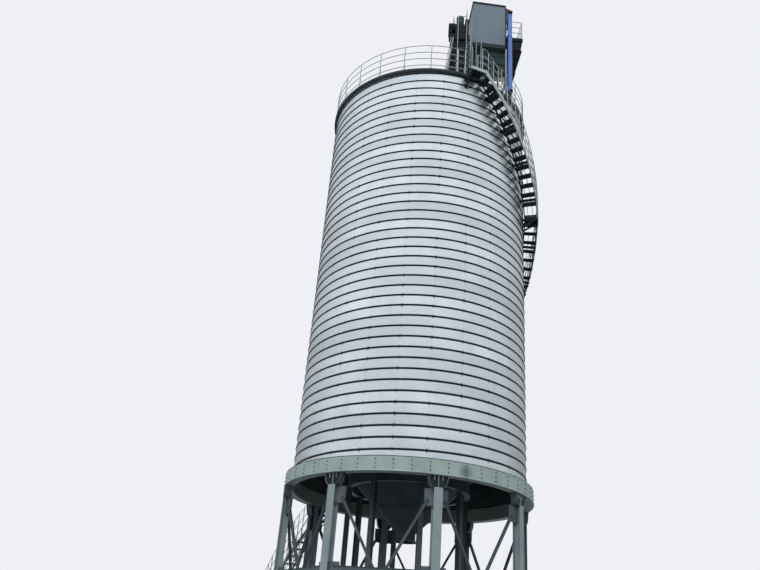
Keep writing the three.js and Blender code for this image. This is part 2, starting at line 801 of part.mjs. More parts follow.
// Receiving hopper: a box under the house and the deck, a rim that rests on the frame,
// a lopsided pyramid and a square spout to the roof
function hopperShape() {
  const h = HOPPER;
  const out = HOPPER_OUT;
  const half = out.side / 2;
  const low = h.z - HOPPER_RIM;
  const upper = outline([
    [h.left, h.z - 1],
    [h.right, h.z - 1],
    [DECK.right - 10, DECK.low - GAP],
    [DECK.left, DECK.low - GAP],
    [DECK.left, HOUSE.low - GAP],
    [h.left, HOUSE.low - GAP],
  ]);
  const body = new THREE.BoxGeometry(1, 1, 1);
  const p = body.attributes.position;
  for (let i = 0; i < p.count; i += 1) {
    const right = p.getX(i) > 0;
    const back = p.getY(i) > 0;
    if (p.getZ(i) > 0) {
      p.setXYZ(i, right ? h.right : h.left, back ? h.back : h.front, low + 1);
    } else {
      p.setXYZ(i, out.u + (right ? half : -half), out.v + (back ? half : -half), out.z);
    }
  }
  const flange = (z, side) =>
    block(out.u - side, out.v - side, z, out.u + side, out.v + side, z + 30);
  const spoutFoot = EAVE_Z + roofRise(Math.hypot(out.u, out.v)) + 60;
  const spout = half - 20;
  const rim = HOPPER_RIM_OUT;
  const shape = union([
    solid(body),
    plate(upper, h.back, h.back - h.front),
    block(h.left - rim, h.front - rim, low, h.right + rim, h.back + rim, h.z),
    block(out.u - spout, out.v - spout, EAVE_Z, out.u + spout, out.v + spout, out.z + 5),
    flange(out.z - 5, out.flange / 2),
    flange(spoutFoot, half + 50),
  ]);
  return shape.subtract(turn(belowRoof, -HEAD_TURN));
}

// Frame under the hopper: four posts from the roof with beams between them
function headFrameShape() {
  const half = FRAME_POST / 2;
  const top = HOPPER.z - HOPPER_RIM - GAP;
  const [left, right] = FRAME_U;
  const [front, back] = FRAME_V;
  const parts = [];
  FRAME_U.forEach((u) => {
    FRAME_V.forEach((v) => parts.push(block(u - half, v - half, EAVE_Z, u + half, v + half, top)));
  });
  const along = (v, z) => block(left, v - half + 10, z - half, right, v + half - 10, z + half);
  const across = (u, z) => block(u - half + 10, front, z - half, u + half - 10, back, z + half);
  FRAME_V.forEach((v) => parts.push(along(v, FRAME_BEAM_Z), along(v, top - half - 1)));
  FRAME_U.forEach((u) => parts.push(across(u, FRAME_BEAM_Z)));
  return union(parts).subtract(turn(belowRoof, -HEAD_TURN));
}

// Deck beside the house and the rail round its open sides
function addDeck() {
  const d = DECK;
  piece(head, "head_deck", block(d.left, d.front, d.low, d.right, d.back, d.high), LOOK.machine);
  const bit = HAND_BAR / 2;
  const z = d.high + GAP;
  const side = d.right - 30;
  const corners = [
    [d.left + 30, d.front + 30],
    [side, d.front + 30],
    [side, (d.front + d.back) / 2],
    [side, d.back - 30],
    [d.left + 30, d.back - 30],
  ];
  const parts = corners.map(([x, y]) =>
    block(x - bit, y - bit, z, x + bit, y + bit, z + DECK_RAILS[2] + bit),
  );
  const at = ([x, y], height) => new THREE.Vector3(x, y, z + height);
  [0, 1, 3].forEach((i) => {
    const next = i === 1 ? 3 : i + 1;
    DECK_RAILS.forEach((height) => {
      parts.push(bar(at(corners[i], height), at(corners[next], height), HAND_BAR - 4));
    });
  });
  piece(head, "head_deck_rail", union(parts), LOOK.rail);
}

// Machine stand with a rail round its top, the conveyor head and the upright motor
function addMachines() {
  const half = STAND_POST / 2;
  const [left, , right] = STAND_X;
  const [front, back] = STAND_Y;
  const crossTop = CASING.low - GAP;
  const parts = [];
  const leanX = (z) => left + (z - STAND_BEAMS[0]) * STAND_LEAN;
  STAND_Y.forEach((y) => {
    const foot = new THREE.Vector3(leanX(EAVE_Z), y, EAVE_Z);
    const top = new THREE.Vector3(leanX(crossTop), y, crossTop);
    parts.push(bar(foot, top, STAND_POST, STAND_POST));
  });
  STAND_X.slice(1).forEach((x) => {
    STAND_Y.forEach((y) => {
      parts.push(block(x - half, y - half, EAVE_Z, x + half, y + half, STAND_TOP));
    });
    parts.push(block(x - half + 5, front, crossTop - STAND_POST, x + half - 5, back, crossTop));
  });
  const bit = STAND_RAIL_POST / 2;
  const railTop = STAND_RAILS[1] + bit;
  STAND_X.slice(1).forEach((x) =>
    STAND_Y.forEach((y) => {
      parts.push(block(x - bit, y - bit, STAND_TOP - 1, x + bit, y + bit, railTop));
    }),
  );
  STAND_RAILS.forEach((z) => {
    const low = z - bit + 3;
    const high = z + bit - 3;
    STAND_Y.forEach((y) => {
      parts.push(block(STAND_X[1], y - bit + 3, low, right, y + bit - 3, high));
    });
    parts.push(block(right - bit + 3, front, low, right + bit - 3, back, high));
  });
  STAND_BEAMS.forEach((z) => {
    STAND_Y.forEach((y) => {
      parts.push(block(leanX(z), y - half + 5, z - half + 5, right, y + half - 5, z + half - 5));
    });
  });
  piece(silo, "machine_stand", union(parts).subtract(belowRoof), LOOK.stair);
  const c = CASING;
  const midY = (c.front + c.back) / 2;
  const side = TRUNK_SIDE / 2;
  const g = GEARBOX;
  const boot = outline([
    [c.left, c.low],
    [c.right, c.low],
    [c.right, c.high + 320],
    [c.right - 155, c.high + 320],
    [c.right - 155, c.high + 40],
    [c.right - 90, c.high + 40],
    [c.right - 90, c.high - 80],
    [c.right - 175, c.high - 80],
    [c.right - 175, c.high],
    [g.right + 15, c.high],
    [g.right - 8, c.high - 40],
    [g.right - 8, g.low + 10],
    [c.left, g.low + 10],
  ]);
  const casing = union([
    plate(boot, c.back, c.back - c.front),
    block(g.left, g.front, g.low, g.left + 140, g.back, g.high),
    block(g.left, g.front, g.low + 340, g.right, g.back, g.high),
  ]);
  const trunks = TRUNK_X.map((x) =>
    block(x - TRUNK_T / 2, midY - side, EAVE_Z, x + TRUNK_T / 2, midY + side, c.low + 10),
  );
  const conveyor = union([casing, ...trunks]).subtract(belowRoof);
  piece(silo, "conveyor_head", conveyor, LOOK.machine);
  const m = MOTOR;
  const foot = c.high + GAP;
  const drum = new THREE.CylinderGeometry(m.r, m.r, m.length, 16);
  drum.rotateX(Math.PI / 2);
  drum.translate(m.x, m.y, foot + m.base + m.length / 2);
  const base = block(m.x - m.r, m.y - 150, foot, m.x + m.r, m.y + 150, foot + m.base + 5);
  piece(silo, "drive_motor", solid(drum).add(base), LOOK.motor);
}

// Riser pipe: a flanged vertical run with a clamp to the deck's edge
function riserShape() {
  const r = RISER;
  const tube = new THREE.CylinderGeometry(r.r, r.r, r.high - r.low, 16);
  const flange = new THREE.CylinderGeometry(RISER_FLANGE_R, RISER_FLANGE_R, 22, 16);
  tube.rotateX(Math.PI / 2);
  flange.rotateX(Math.PI / 2);
  tube.translate(0, 0, (r.high + r.low) / 2);
  flange.translate(0, 0, r.low + 11);
  const cos = Math.cos(rad(HEAD_TURN));
  const sin = Math.sin(rad(HEAD_TURN));
  const u = r.x * cos + r.y * sin;
  const v = r.y * cos - r.x * sin;
  const clamp = block(-50, 0, RISER_CLAMP_Z - 30, 50, DECK.front - GAP - v, RISER_CLAMP_Z + 30);
  return union([solid(tube), solid(flange), clamp]).translate([u, v, 0]);
}

pieceRound("shell_wall", SHELL_PARTS, LEG_FIRST + BAY / 2, shellPart(), LOOK.strip);
pieceRound("ring_girder", RING_PARTS, LEG_FIRST + BAY, ringPart(), LOOK.girder);
pieceRound("leg", LEG_COUNT, LEG_FIRST, legShape(), LOOK.leg);
pieceRound("leg_bracing", LEG_COUNT, LEG_FIRST + BAY / 2, bracingShape(), LOOK.brace);
pieceRound("cone_bottom", CONE_PARTS, LEG_FIRST + BAY, conePart(), LOOK.cone);
piece(silo, "outlet_collar", outletShape(), LOOK.cone);
piece(silo, "inner_frame", innerFrameShape(), LOOK.leg);
piece(silo, "roof", roofShape(), LOOK.roof);
piece(silo, "roof_cap", capShape(), LOOK.roof);
addGuardrail();
addStair();
addHeadHouse();
piece(head, "head_hopper", hopperShape(), LOOK.hopper);
piece(head, "head_frame", headFrameShape(), LOOK.stair);
addDeck();
addMachines();
piece(head, "riser_pipe", riserShape(), LOOK.pipe);

export default silo;
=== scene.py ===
# %% [markdown]
# # A grain silo on steel legs
# The CAD frame gives every main shape its size and place. This lesson dresses it: the shell gets
# its folded spiral seam, the steel gets sections, bolts and weathered paint, and the roof gets
# its machinery. Each step says what the real piece is, how it could be made, and why this way.
# All lengths are metres. Angles go round the silo from the front, positive to the right.

# %% Load the CAD frame
import bpy
import math
from mathutils import Matrix, Vector


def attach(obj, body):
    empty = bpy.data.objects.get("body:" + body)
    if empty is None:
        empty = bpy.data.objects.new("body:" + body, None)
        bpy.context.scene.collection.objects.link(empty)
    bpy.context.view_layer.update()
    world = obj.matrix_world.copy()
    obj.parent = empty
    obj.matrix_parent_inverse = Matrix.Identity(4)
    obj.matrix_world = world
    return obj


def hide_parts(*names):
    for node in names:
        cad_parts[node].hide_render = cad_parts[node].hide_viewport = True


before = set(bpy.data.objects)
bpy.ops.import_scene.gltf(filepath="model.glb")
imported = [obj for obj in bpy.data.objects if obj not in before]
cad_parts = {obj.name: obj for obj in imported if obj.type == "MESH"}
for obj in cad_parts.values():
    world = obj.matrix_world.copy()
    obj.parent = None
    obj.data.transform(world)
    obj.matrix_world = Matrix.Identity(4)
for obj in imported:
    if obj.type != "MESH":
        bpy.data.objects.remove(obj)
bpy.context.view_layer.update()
UP, TO_VIEWER = Vector((0, 0, 1)), Vector((0, -1, 0))

# %% [markdown]
# ## Working by hand, in code
# An operator acts on whatever is selected, so the bench is cleared before each one. A block, a
# rod or an extruded section starts every plate and bar, and a section swept about the silo's axis
# makes all that is round or winds: shell, girder, rails and stringers.

# %% Clear the bench, hold a piece, weld pieces
def clear_bench():
    held = bpy.context.object
    if held and held.mode != "OBJECT":
        bpy.ops.object.mode_set(mode="OBJECT")
    bpy.ops.object.select_all(action="DESELECT")


def hold(*pieces, edit=False):
    """Selects the pieces; for edit work, opens the first with all of it selected."""
    clear_bench()
    for piece in pieces:
        piece.select_set(True)
    bpy.context.view_layer.objects.active = pieces[0]
    if edit:
        bpy.ops.object.mode_set(mode="EDIT")
        bpy.ops.mesh.select_all(action="SELECT")


def set_down(piece):
    """Puts the piece's place and turn into its mesh."""
    hold(piece)
    bpy.ops.object.transform_apply(location=True, rotation=True, scale=True)
    return piece


def weld(*pieces):
    hold(*pieces)
    if len(pieces) > 1:
        bpy.ops.object.join()
    return set_down(pieces[0])


def modify(piece, kind, **settings):
    """Gives the piece a modifier with these settings, and applies it."""
    hold(piece)
    bpy.ops.object.modifier_add(type=kind)
    tool = piece.modifiers[-1]
    for name, value in settings.items():
        setattr(tool, name, value)
    bpy.ops.object.modifier_apply(modifier=tool.name)
    return piece


def cut(piece, point, across, **sides):
    """Saws along a plane; the sides say what goes and whether the cut is closed."""
    hold(piece, edit=True)
    bpy.ops.mesh.bisect(plane_co=point, plane_no=across, **sides)
    bpy.ops.object.mode_set(mode="OBJECT")
    return piece


# %% Round the silo
def turned_to(angle, climb=0.0):
    """The move that takes a piece from the front of the silo to an angle round it."""
    return Matrix.Translation((0, 0, climb)) @ Matrix.Rotation(math.radians(angle), 4, "Z")


def spot(angle, radius, height):
    a = math.radians(angle)
    return Vector((radius * math.sin(a), -radius * math.cos(a), height))


def move(piece, matrix):
    piece.matrix_world = matrix @ piece.matrix_world
    return set_down(piece)


def copies(piece, moves):
    """The piece, modelled once, copied to every move, each copy with its own mesh."""
    twins = []
    for matrix in moves:
        twin = piece.copy()
        twin.data = piece.data.copy()
        bpy.context.collection.objects.link(twin)
        twin.matrix_world = matrix @ piece.matrix_world
        twins.append(twin)
    bpy.data.objects.remove(piece)
    return twins


def repeat(piece, moves):
    return weld(*copies(piece, moves))


# %% Blocks and rods
def block(low, high):
    low, high = Vector(low), Vector(high)
    clear_bench()
    bpy.ops.mesh.primitive_cube_add(size=1, location=(low + high) / 2, scale=high - low)
    return set_down(bpy.context.object)


def slab(x, y, wide, deep, low, high):
    """A block about a place, this wide and deep to each side of it."""
    return block((x - wide, y - deep, low), (x + wide, y + deep, high))


def aim(start, along, up=(0, 0, 1)):
    """The move that stands a piece's own z along a direction, its y as near to up as it goes."""
    along = Vector(along).normalized()
    side = Vector(up).cross(along)
    if side.length < 1e-6:
        side = Vector((1, 0, 0))
    side.normalize()
    turn = Matrix((side, along.cross(side), along)).transposed().to_4x4()
    return Matrix.Translation(Vector(start)) @ turn


def rod(start, end, radius, sides=8):
    start, end = Vector(start), Vector(end)
    clear_bench()
    bpy.ops.mesh.primitive_cylinder_add(
        vertices=sides, radius=radius, depth=(end - start).length)
    return move(bpy.context.object, aim((start + end) / 2, end - start))


def pole(x, y, low, high, radius, sides=8):
    return rod((x, y, low), (x, y, high), radius, sides)


# %% Outlines, extruded or stood up as plates and rolled sections
def draw(points, closed=True, filled=False):
    """A line of points in space, from a circle whose points are moved into place."""
    clear_bench()
    bpy.ops.mesh.primitive_circle_add(
        vertices=len(points), radius=1, fill_type="NGON" if filled else "NOTHING")
    line = bpy.context.object
    for corner, place in zip(line.data.vertices, points):
        corner.co = place
    if not closed:
        for edge in line.data.edges:
            edge.select = set(edge.vertices) == {0, len(points) - 1}
        for corner in line.data.vertices:
            corner.select = corner.index in (0, len(points) - 1)
        bpy.ops.object.mode_set(mode="EDIT")
        bpy.ops.mesh.select_mode(type="EDGE")
        bpy.ops.mesh.delete(type="EDGE")
        bpy.ops.object.mode_set(mode="OBJECT")
    return line


def face_outwards(piece, doubles=0.0, fill=False):
    hold(piece, edit=True)
    if doubles:
        bpy.ops.mesh.remove_doubles(threshold=doubles)
    if fill:
        bpy.ops.mesh.fill_holes(sides=0)
        bpy.ops.mesh.select_all(action="SELECT")
    bpy.ops.mesh.normals_make_consistent(inside=False)
    bpy.ops.object.mode_set(mode="OBJECT")
    return piece


def section(outline, start, end, up=(0, 0, 1)):
    """A flat outline extruded from one point to another: its y turns towards up."""
    start, end = Vector(start), Vector(end)
    bar = draw([(x, y, 0) for x, y in outline], filled=True)
    hold(bar, edit=True)
    bpy.ops.mesh.extrude_region_move(
        TRANSFORM_OT_translate={"value": (0, 0, (end - start).length)})
    bpy.ops.object.mode_set(mode="OBJECT")
    return move(face_outwards(bar), aim(start, end - start, up))


def upright_plate(outline, front, back):
    """A plate drawn in x and z, from its front y to its back y."""
    return section(outline, (0, back, 0), (0, front, 0))


def stud(outline, x, y, low, high):
    """A section stood upright, its flanges to the front and the back."""
    return section(outline, (x, y, low), (x, y, high), TO_VIEWER)


def oblong(left, low, right, high):
    return [(left, low), (right, low), (right, high), (left, high)]


def wide_flange(width, depth, plate):
    w, d, t = width / 2, depth / 2, plate / 2
    return [(-w, -d), (w, -d), (w, -d + plate), (t, -d + plate), (t, d - plate), (w, d - plate),
            (w, d), (-w, d), (-w, d - plate), (-t, d - plate), (-t, -d + plate), (-w, -d + plate)]


# %% Sections swept round the silo
def sweep(outline, first=0, turn=360, climb=0.0, step=3.75):
    """A closed outline of (radius, height) swept about the silo's axis, as rolled steel is."""
    whole = abs(turn) > 359.9
    steps = max(1, round(abs(turn) / step))
    piece = modify(draw([spot(first, r, z) for r, z in outline]), "SCREW", axis="Z",
                   angle=math.radians(turn), screw_offset=climb, steps=steps, render_steps=steps)
    return face_outwards(piece, doubles=0.0005 if whole else 0.0, fill=not whole)


def spread(piece, first, widen, beyond=0.0):
    """Moves what lies beyond a radius outwards, evenly with the degrees passed since first."""
    for point in piece.data.vertices:
        x, y, z = point.co
        gone = (math.degrees(math.atan2(x, -y)) - first + 5) % 360 - 5
        grow = 1 + widen * max(0.0, gone) / math.hypot(x, y)
        if math.hypot(x, y) > beyond:
            point.co = (x * grow, y * grow, z)
    return piece


def tube(radius, height, size):
    ring = [math.pi / 4 * i for i in range(8)]
    return [(radius + size * math.cos(a), height + size * math.sin(a)) for a in ring]


# %% Finish a piece
def soften(piece, width=0.003):
    """Sheared, rolled and welded edges are never knife-sharp."""
    return modify(piece, "BEVEL", width=width, segments=1, limit_method="ANGLE",
                  angle_limit=math.radians(40))


def finish(piece, material):
    piece.data.materials.clear()
    piece.data.materials.append(material)
    return piece


def made(parts, material, edge=0.0015):
    """Parts welded into one, their edges softened, and finished."""
    return finish(soften(weld(*parts), edge), material)


def fit(piece, name, nodes=(), smooth=35):
    """Names a piece, shades it smooth, hides the CAD nodes it stands for, and lets it ride."""
    hold(piece)
    bpy.ops.object.shade_smooth_by_angle(angle=math.radians(smooth))
    piece.name = piece.data.name = name
    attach(piece, "root")
    if nodes:
        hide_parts(*nodes)
    print(f"{name}: {len(piece.data.polygons)} faces")
    return piece


def numbered(stem, count):
    return [f"{stem}_{i + 1}" for i in range(count)]

# %% [markdown]
# ## Materials
# Colours are written as they look on a screen and turned linear once. Each finish is built from
# what the real surface is and how it was made: rolled and galvanised strip, sprayed paint on mill
# steel, drawn tube. One function adds a node with its settings and links.

# %% Colours and nodes
def colour(hex_code):
    """An sRGB colour as the linear one that the shader works in."""
    levels = [int(hex_code[i:i + 2], 16) / 255 for i in (1, 3, 5)]
    return (*[v / 12.92 if v <= 0.04045 else ((v + 0.055) / 1.055) ** 2.4 for v in levels], 1)


def wire(node, links):
    """Gives a node's sockets, by name or number, a value or a link."""
    for socket, value in links.items():
        if isinstance(value, bpy.types.NodeSocket):
            node.id_data.links.new(value, node.inputs[socket])
        else:
            node.inputs[socket].default_value = value
    return node


def add(kind, settings=None, links=None, tree=None):
    """Adds one node, to the tree given or else to the tree of what is linked to it."""
    links = links or {}
    sources = [value for value in links.values() if isinstance(value, bpy.types.NodeSocket)]
    node = (tree or sources[0].id_data).nodes.new("ShaderNode" + kind)
    for name, value in (settings or {}).items():
        setattr(node, name, value)
    return wire(node, links)


def new_material(name, metallic, rough, shine=0.5):
    """A material with its one shader; what is the same all over is set on the shader itself."""
    material = bpy.data.materials.new(name)
    material.use_nodes = True
    shader = wire(material.node_tree.nodes["Principled BSDF"], {
        "Metallic": metallic, "Roughness": rough, "Specular IOR Level": shine})
    return material, shader, add("TexCoord", tree=material.node_tree).outputs["Object"]


def patches(place, size, detail=4.0, rough=0.55, stretch=(1, 1, 1)):
    """Cloudy patches of a real size in metres, drawn out along an axis where stretch is small."""
    drawn = add("Mapping", None, {"Vector": place, "Scale": stretch}).outputs[0]
    return add("TexNoise", None, {
        "Vector": drawn, "Scale": 1 / size, "Detail": detail, "Roughness": rough}).outputs[0]


def between(amount, low, high, at_low=0.0, at_high=1.0):
    """Takes a pattern's range to another one, held at its ends."""
    return add("MapRange", None, {"Value": amount, "From Min": low, "From Max": high,
                                  "To Min": at_low, "To Max": at_high}).outputs[0]


def sums(operation, first, second=0.0):
    return add("Math", {"operation": operation}, {0: first, 1: second}).outputs[0]


def blend(amount, under, over, way="MIX"):
    return add("Mix", {"data_type": "RGBA", "blend_type": way}, {
        0: amount, 6: under, 7: over}).outputs[2]


def coats(tone, *layers):
    """Lays colours over a tone, one after the other, each where its mask says."""
    for mask, hex_code in layers:
        tone = blend(mask, tone, colour(hex_code))
    return tone


def relief(height, depth, strength=0.5):
    return add("Bump", None, {"Height": height, "Distance": depth,
                              "Strength": strength}).outputs[0]


# %% [markdown]
# ### Galvanised spiral strip
# The shell is one long hot-dip galvanised strip, roll-formed at its edges and folded into the
# turn below as it winds. Zinc is a soft grey metal with a broad dull gloss. Its tone changes along
# the strip, because coils differ, and weather leaves smudges and runs under each fold. Stiffeners
# bolted inside, every 15 degrees, leave a small dark stain at each fold. A near-black line at each
# fold is painted shade, where the rib's underside lies in shadow. The patterns are laid along the
# strip: its length is worked out from angle and height.

# %% Galvanised spiral strip
SEAM_PITCH, SEAM_FRONT = 0.365, 21.6957
STIFFENERS, FIRST_STIFFENER = 24.0, 7 / 360


def spiral(place):
    """Where a point is: length along the strip in turns, 0 to 1 across it, turns round."""
    axes = add("SeparateXYZ", None, {0: place}).outputs
    turns = sums("DIVIDE", sums("ARCTAN2", axes[0], sums("MULTIPLY", axes[1], -1.0)), 2 * math.pi)
    height = sums("DIVIDE", sums("SUBTRACT", axes[2], SEAM_FRONT), SEAM_PITCH)
    lift = sums("SUBTRACT", height, turns)
    return sums("ADD", sums("FLOOR", lift), turns), sums("FRACT", lift), turns


def galvanised_strip():
    material, shader, place = new_material("galvanised_spiral_strip", 0.8, 0.35)
    along, across, turns = spiral(place)

    def at_folds(low, low_end, high, high_end):
        """1 along both edges of the strip and 0 between them."""
        return sums("MAXIMUM", between(across, low, low_end, 1.0, 0.0),
                    between(across, high, high_end))

    coil = add("TexNoise", {"noise_dimensions": "1D"}, {
        "W": along, "Scale": 1.9, "Detail": 3.0, "Roughness": 0.6}).outputs[0]
    cloud = patches(place, 1.1, 5.0, 0.6, (1, 1, 0.55))
    spangle = add("TexVoronoi", None, {"Vector": place, "Scale": 1 / 0.03}).outputs["Color"]
    tone = coats(blend(between(coil, 0.35, 0.65), colour("#cacfd4"), colour("#e6e9eb")),
                 (between(cloud, 0.35, 0.7, 0.0, 0.55), "#c0c7cd"))
    roll_marks = patches(place, 0.05, 4.0, 0.7, (1, 1, 2.6))
    smear = patches(place, 0.16, 5.0, 0.65, (1, 1, 0.45))
    grime = sums("MULTIPLY", at_folds(0.02, 0.16, 0.84, 0.985),
                 between(smear, 0.45, 0.75, 0.0, 0.5))
    column = sums("PINGPONG", sums("MULTIPLY", sums("SUBTRACT", turns, FIRST_STIFFENER),
                                   STIFFENERS), 0.5)
    beside = sums("MULTIPLY", between(column, 0.014, 0.048, 1.0, 0.0),
                  at_folds(0.11, 0.19, 0.74, 0.88))
    stain = sums("MULTIPLY", beside, between(patches(place, 0.6, 2.0), 0.40, 0.60, 0.3, 0.95))
    # The last coat, near-black at the folds, is painted shade under each rib; the grey grime
    # before it is dirt.
    tone = coats(blend(0.06, tone, spangle, "OVERLAY"),
                 (between(roll_marks, 0.42, 0.75, 0.0, 0.45), "#98a5ad"), (grime, "#7d8a92"),
                 (stain, "#4f5a5f"), (at_folds(0.078, 0.104, 0.882, 0.914), "#17232b"))
    wire(shader, {"Base Color": tone, "Roughness": between(cloud, 0.3, 0.7, 0.28, 0.38),
                  "Normal": relief(patches(place, 0.45, 2.0, 0.5, (1, 1, 1.6)), 0.010)})
    return material


# %% [markdown]
# ### Weathered paint on mill steel
# Girder, legs, bracing, stair and machinery are mill steel sprayed with an alkyd paint. Such
# paint is even but not uniform: it chalks in patches, rain leaves thin runs down upright faces,
# and dust settles on what faces up. The spray leaves a slight orange peel of a few millimetres,
# drawn at 12 mm here so that it shows. Old dark paint has lost its shine, so it mirrors little.

# %% Weathered paint
def weathered_paint(name, fresh, chalked, run, rough=0.55, metallic=0.0, patch=0.7, shine=0.5):
    material, shader, place = new_material(name, metallic, rough, shine)
    chalk = patches(place, patch, 6.0, 0.6)
    streak = patches(place, 0.09, 4.0, 0.6, (1, 1, 0.08))
    wet = sums("MULTIPLY", between(streak, 0.5, 0.72, 0.0, 0.35),
               between(patches(place, 0.5, 3.0), 0.42, 0.62))
    faces = add("NewGeometry", tree=material.node_tree).outputs["Normal"]
    upward = add("SeparateXYZ", None, {0: faces}).outputs[2]
    dust = sums("MULTIPLY", between(upward, 0.5, 0.95, 0.0, 0.45),
                between(patches(place, 0.12), 0.3, 0.6))
    tone = blend(between(chalk, 0.38, 0.66), colour(fresh), colour(chalked))
    wire(shader, {"Base Color": coats(tone, (wet, run), (dust, "#a6a296")),
                  "Roughness": between(chalk, 0.3, 0.7, rough - 0.08, rough + 0.12),
                  "Normal": relief(patches(place, 0.012, 2.0), 0.0006, 0.4)})
    return material


def smudge(material, centre, size, tone):
    """One soft dirty patch on a finish, at a place."""
    shader = material.node_tree.nodes["Principled BSDF"]
    place = add("TexCoord", tree=material.node_tree).outputs["Object"]
    away = add("VectorMath", {"operation": "DISTANCE"}, {0: place, 1: centre}).outputs[1]
    ragged = sums("ADD", away, between(patches(place, 0.05), 0, 1, -0.5 * size, 0.5 * size))
    under = shader.inputs["Base Color"].links[0].from_socket
    dirt = between(ragged, 0.3 * size, size, 0.7, 0.0)
    wire(shader, {"Base Color": coats(under, (dirt, tone))})


# Each paint has its fresh colour, its chalked one and that of its rain runs
STRIP = galvanised_strip()
GIRDER = weathered_paint("grey_green_alkyd_on_girder", "#8c9d98", "#9eada7", "#66736b")
smudge(GIRDER, (1.66, -3.83, 6.93), 0.27, "#48504e")
LEG = weathered_paint("blue_grey_alkyd_on_legs", "#86949a", "#98a5a5", "#5f6b6b")
# This darker grey is partly painted shade: leg heads and gusset wings set back under the girder
# take it; the girder's bolt heads and the bracing's plates are painted in it too.
DARK_GREY_AND_SHADE = weathered_paint("dark_grey_paint_and_painted_shade", "#566063", "#697377", "#3c4345", shine=0.25)
# The bracing's darker grey also stands in as painted shade, on the back row of the casing's stand.
BRACE_DARK_AND_SHADE = weathered_paint("dark_grey_alkyd_and_painted_shade", "#545e61", "#687276", "#3b4245",
                        shine=0.25)
HOPPER_STEEL = weathered_paint("mill_scale_on_cone", "#454e51", "#5a6367", "#2f3538", 0.65,
                               shine=0.2)
# Zinc on roof sheet, drawn tube and bolts, and near-black painted shadow on the eave and girder
# edge
ROOF_SHEET = weathered_paint("galvanised_roof_sheet", "#7d868a", "#949da1", "#5c6467", 0.5, 0.6)
PAINTED_SHADOW_EDGE = weathered_paint("near_black_painted_shadow", "#212425", "#2c3031", "#151718", 0.6)
TUBE = weathered_paint("galvanised_drawn_tube", "#9aa3a6", "#b3babc", "#6c7578", 0.42, 0.6, 0.25)
BOLT = weathered_paint("dull_zinc_bolts", "#4b5354", "#5b6364", "#2f3535", 0.45, 0.6, 0.1)
# Paint on the stair, whose treads' near-black also serves as painted shade; coil-coated and folded
# sheet on the house
STAIR = weathered_paint("light_grey_alkyd_on_stair", "#aab0b0", "#b8bdbc", "#7d8485")
TREAD_DARK_AND_SHADE = weathered_paint("dark_treads_and_painted_shade", "#1f262c", "#2c343a", "#15191c", 0.7,
                        shine=0.25)
CLADDING = weathered_paint("coil_coated_cladding_sheet", "#65737f", "#6d7b87", "#4d5963", 0.4)
TRIM = weathered_paint("dark_folded_trim", "#1d2022", "#2a2e31", "#141617", 0.5)
# Hammer paint and enamels on hopper, machinery and pipe; the rim green and the near-black enamel
# also serve as painted shade
GREEN = weathered_paint("dark_green_hammer_paint", "#425659", "#506467", "#313f41", 0.5,
                        shine=0.35)
RIM_GREEN = weathered_paint("shaded_green_enamel_on_rim", "#223134", "#2c3b3e", "#182224", 0.6,
                            shine=0.25)
MACHINE_DARK_AND_SHADE = weathered_paint("dark_machine_enamel_and_painted_shade", "#1d1c1f", "#29282b", "#131214", 0.7,
                          shine=0.2)
MOTOR = weathered_paint("blue_green_motor_enamel", "#344846", "#3f5452", "#232f2e", 0.5,
                        shine=0.3)
PIPE = weathered_paint("blue_pipe_enamel", "#4a70c0", "#5d80c6", "#355396", 0.35)
print("materials", len(bpy.data.materials))

# %% [markdown]
# ## Fasteners
# Structural bolts have a hexagon head on a washer. One is modelled and copied to every hole, so
# it keeps to a few faces. Heads are M24 on the girder and M20 elsewhere.

# %% Hexagon heads
def bolts(points, across, out=None, material=None):
    """Heads of a given width across their flats, facing out, or else away from the axis."""
    heads = []
    for sides, radius, depth, height in (
            (6, across / 2 / math.cos(math.pi / 6), 0.62 * across, 0.31 * across + 0.003),
            (10, 0.68 * across, 0.006, 0.001)):
        clear_bench()
        bpy.ops.mesh.primitive_cylinder_add(
            vertices=sides, radius=radius, depth=depth, location=(0, 0, height))
        heads.append(bpy.context.object)
    head = finish(weld(*heads), material or BOLT)
    return repeat(head, [aim(point, out or (point[0], point[1], 0)) for point in points])


# %% [markdown]
# ## Shell
# The wall is one strip, a pitch of 365 mm tall, wound upwards and folded to itself with a rib
# outside. It could be 41 separate hoops, but then the seams would be level and the bottom would
# not taper at the girder. So the strip's profile, with its fold, is drawn once and swept up as a
# screw, then cut level at both ends and given the sheet's thickness inwards. Inside, dust has
# dulled the zinc, so the inner skin gets the cone's plain finish.

# %% The wound strip
WALL_R, WALL_FOOT, WALL_TOP, TURNS_BELOW = 3.937, 7.2003, 22.125, 41
strip = [(0, 0.0105), (0.0015, 0.10), (0.0015, 0.265), (0, 0.353), (0.021, 0.3538),
         (0.0245, 0.357), (0.0245, 0.3725), (0.021, 0.3755), (0, 0.3755)]
foot = SEAM_FRONT - SEAM_PITCH * (TURNS_BELOW + 0.5)
shell = draw([spot(-180, WALL_R + out, foot + up) for out, up in strip], closed=False)
modify(shell, "SCREW", axis="Z", angle=2 * math.pi, screw_offset=SEAM_PITCH, steps=96,
       render_steps=96, iterations=TURNS_BELOW + 2)

# %% Cut level, turned outwards and given its thickness
hold(shell, edit=True)
bpy.ops.mesh.remove_doubles(threshold=0.0005)
cut(shell, (0, 0, WALL_TOP), UP, clear_outer=True)
cut(shell, (0, 0, WALL_FOOT), UP, clear_inner=True)
modify(face_outwards(shell), "SOLIDIFY", thickness=0.006, offset=-1)
finish(shell, STRIP)
shell.data.materials.append(HOPPER_STEEL)
for face in shell.data.polygons:
    if face.center.xy.dot(face.normal.xy) < 0 and face.center.xy.length < WALL_R:
        face.material_index = 1
fit(shell, "shell", numbered("shell_wall", 8), smooth=25)
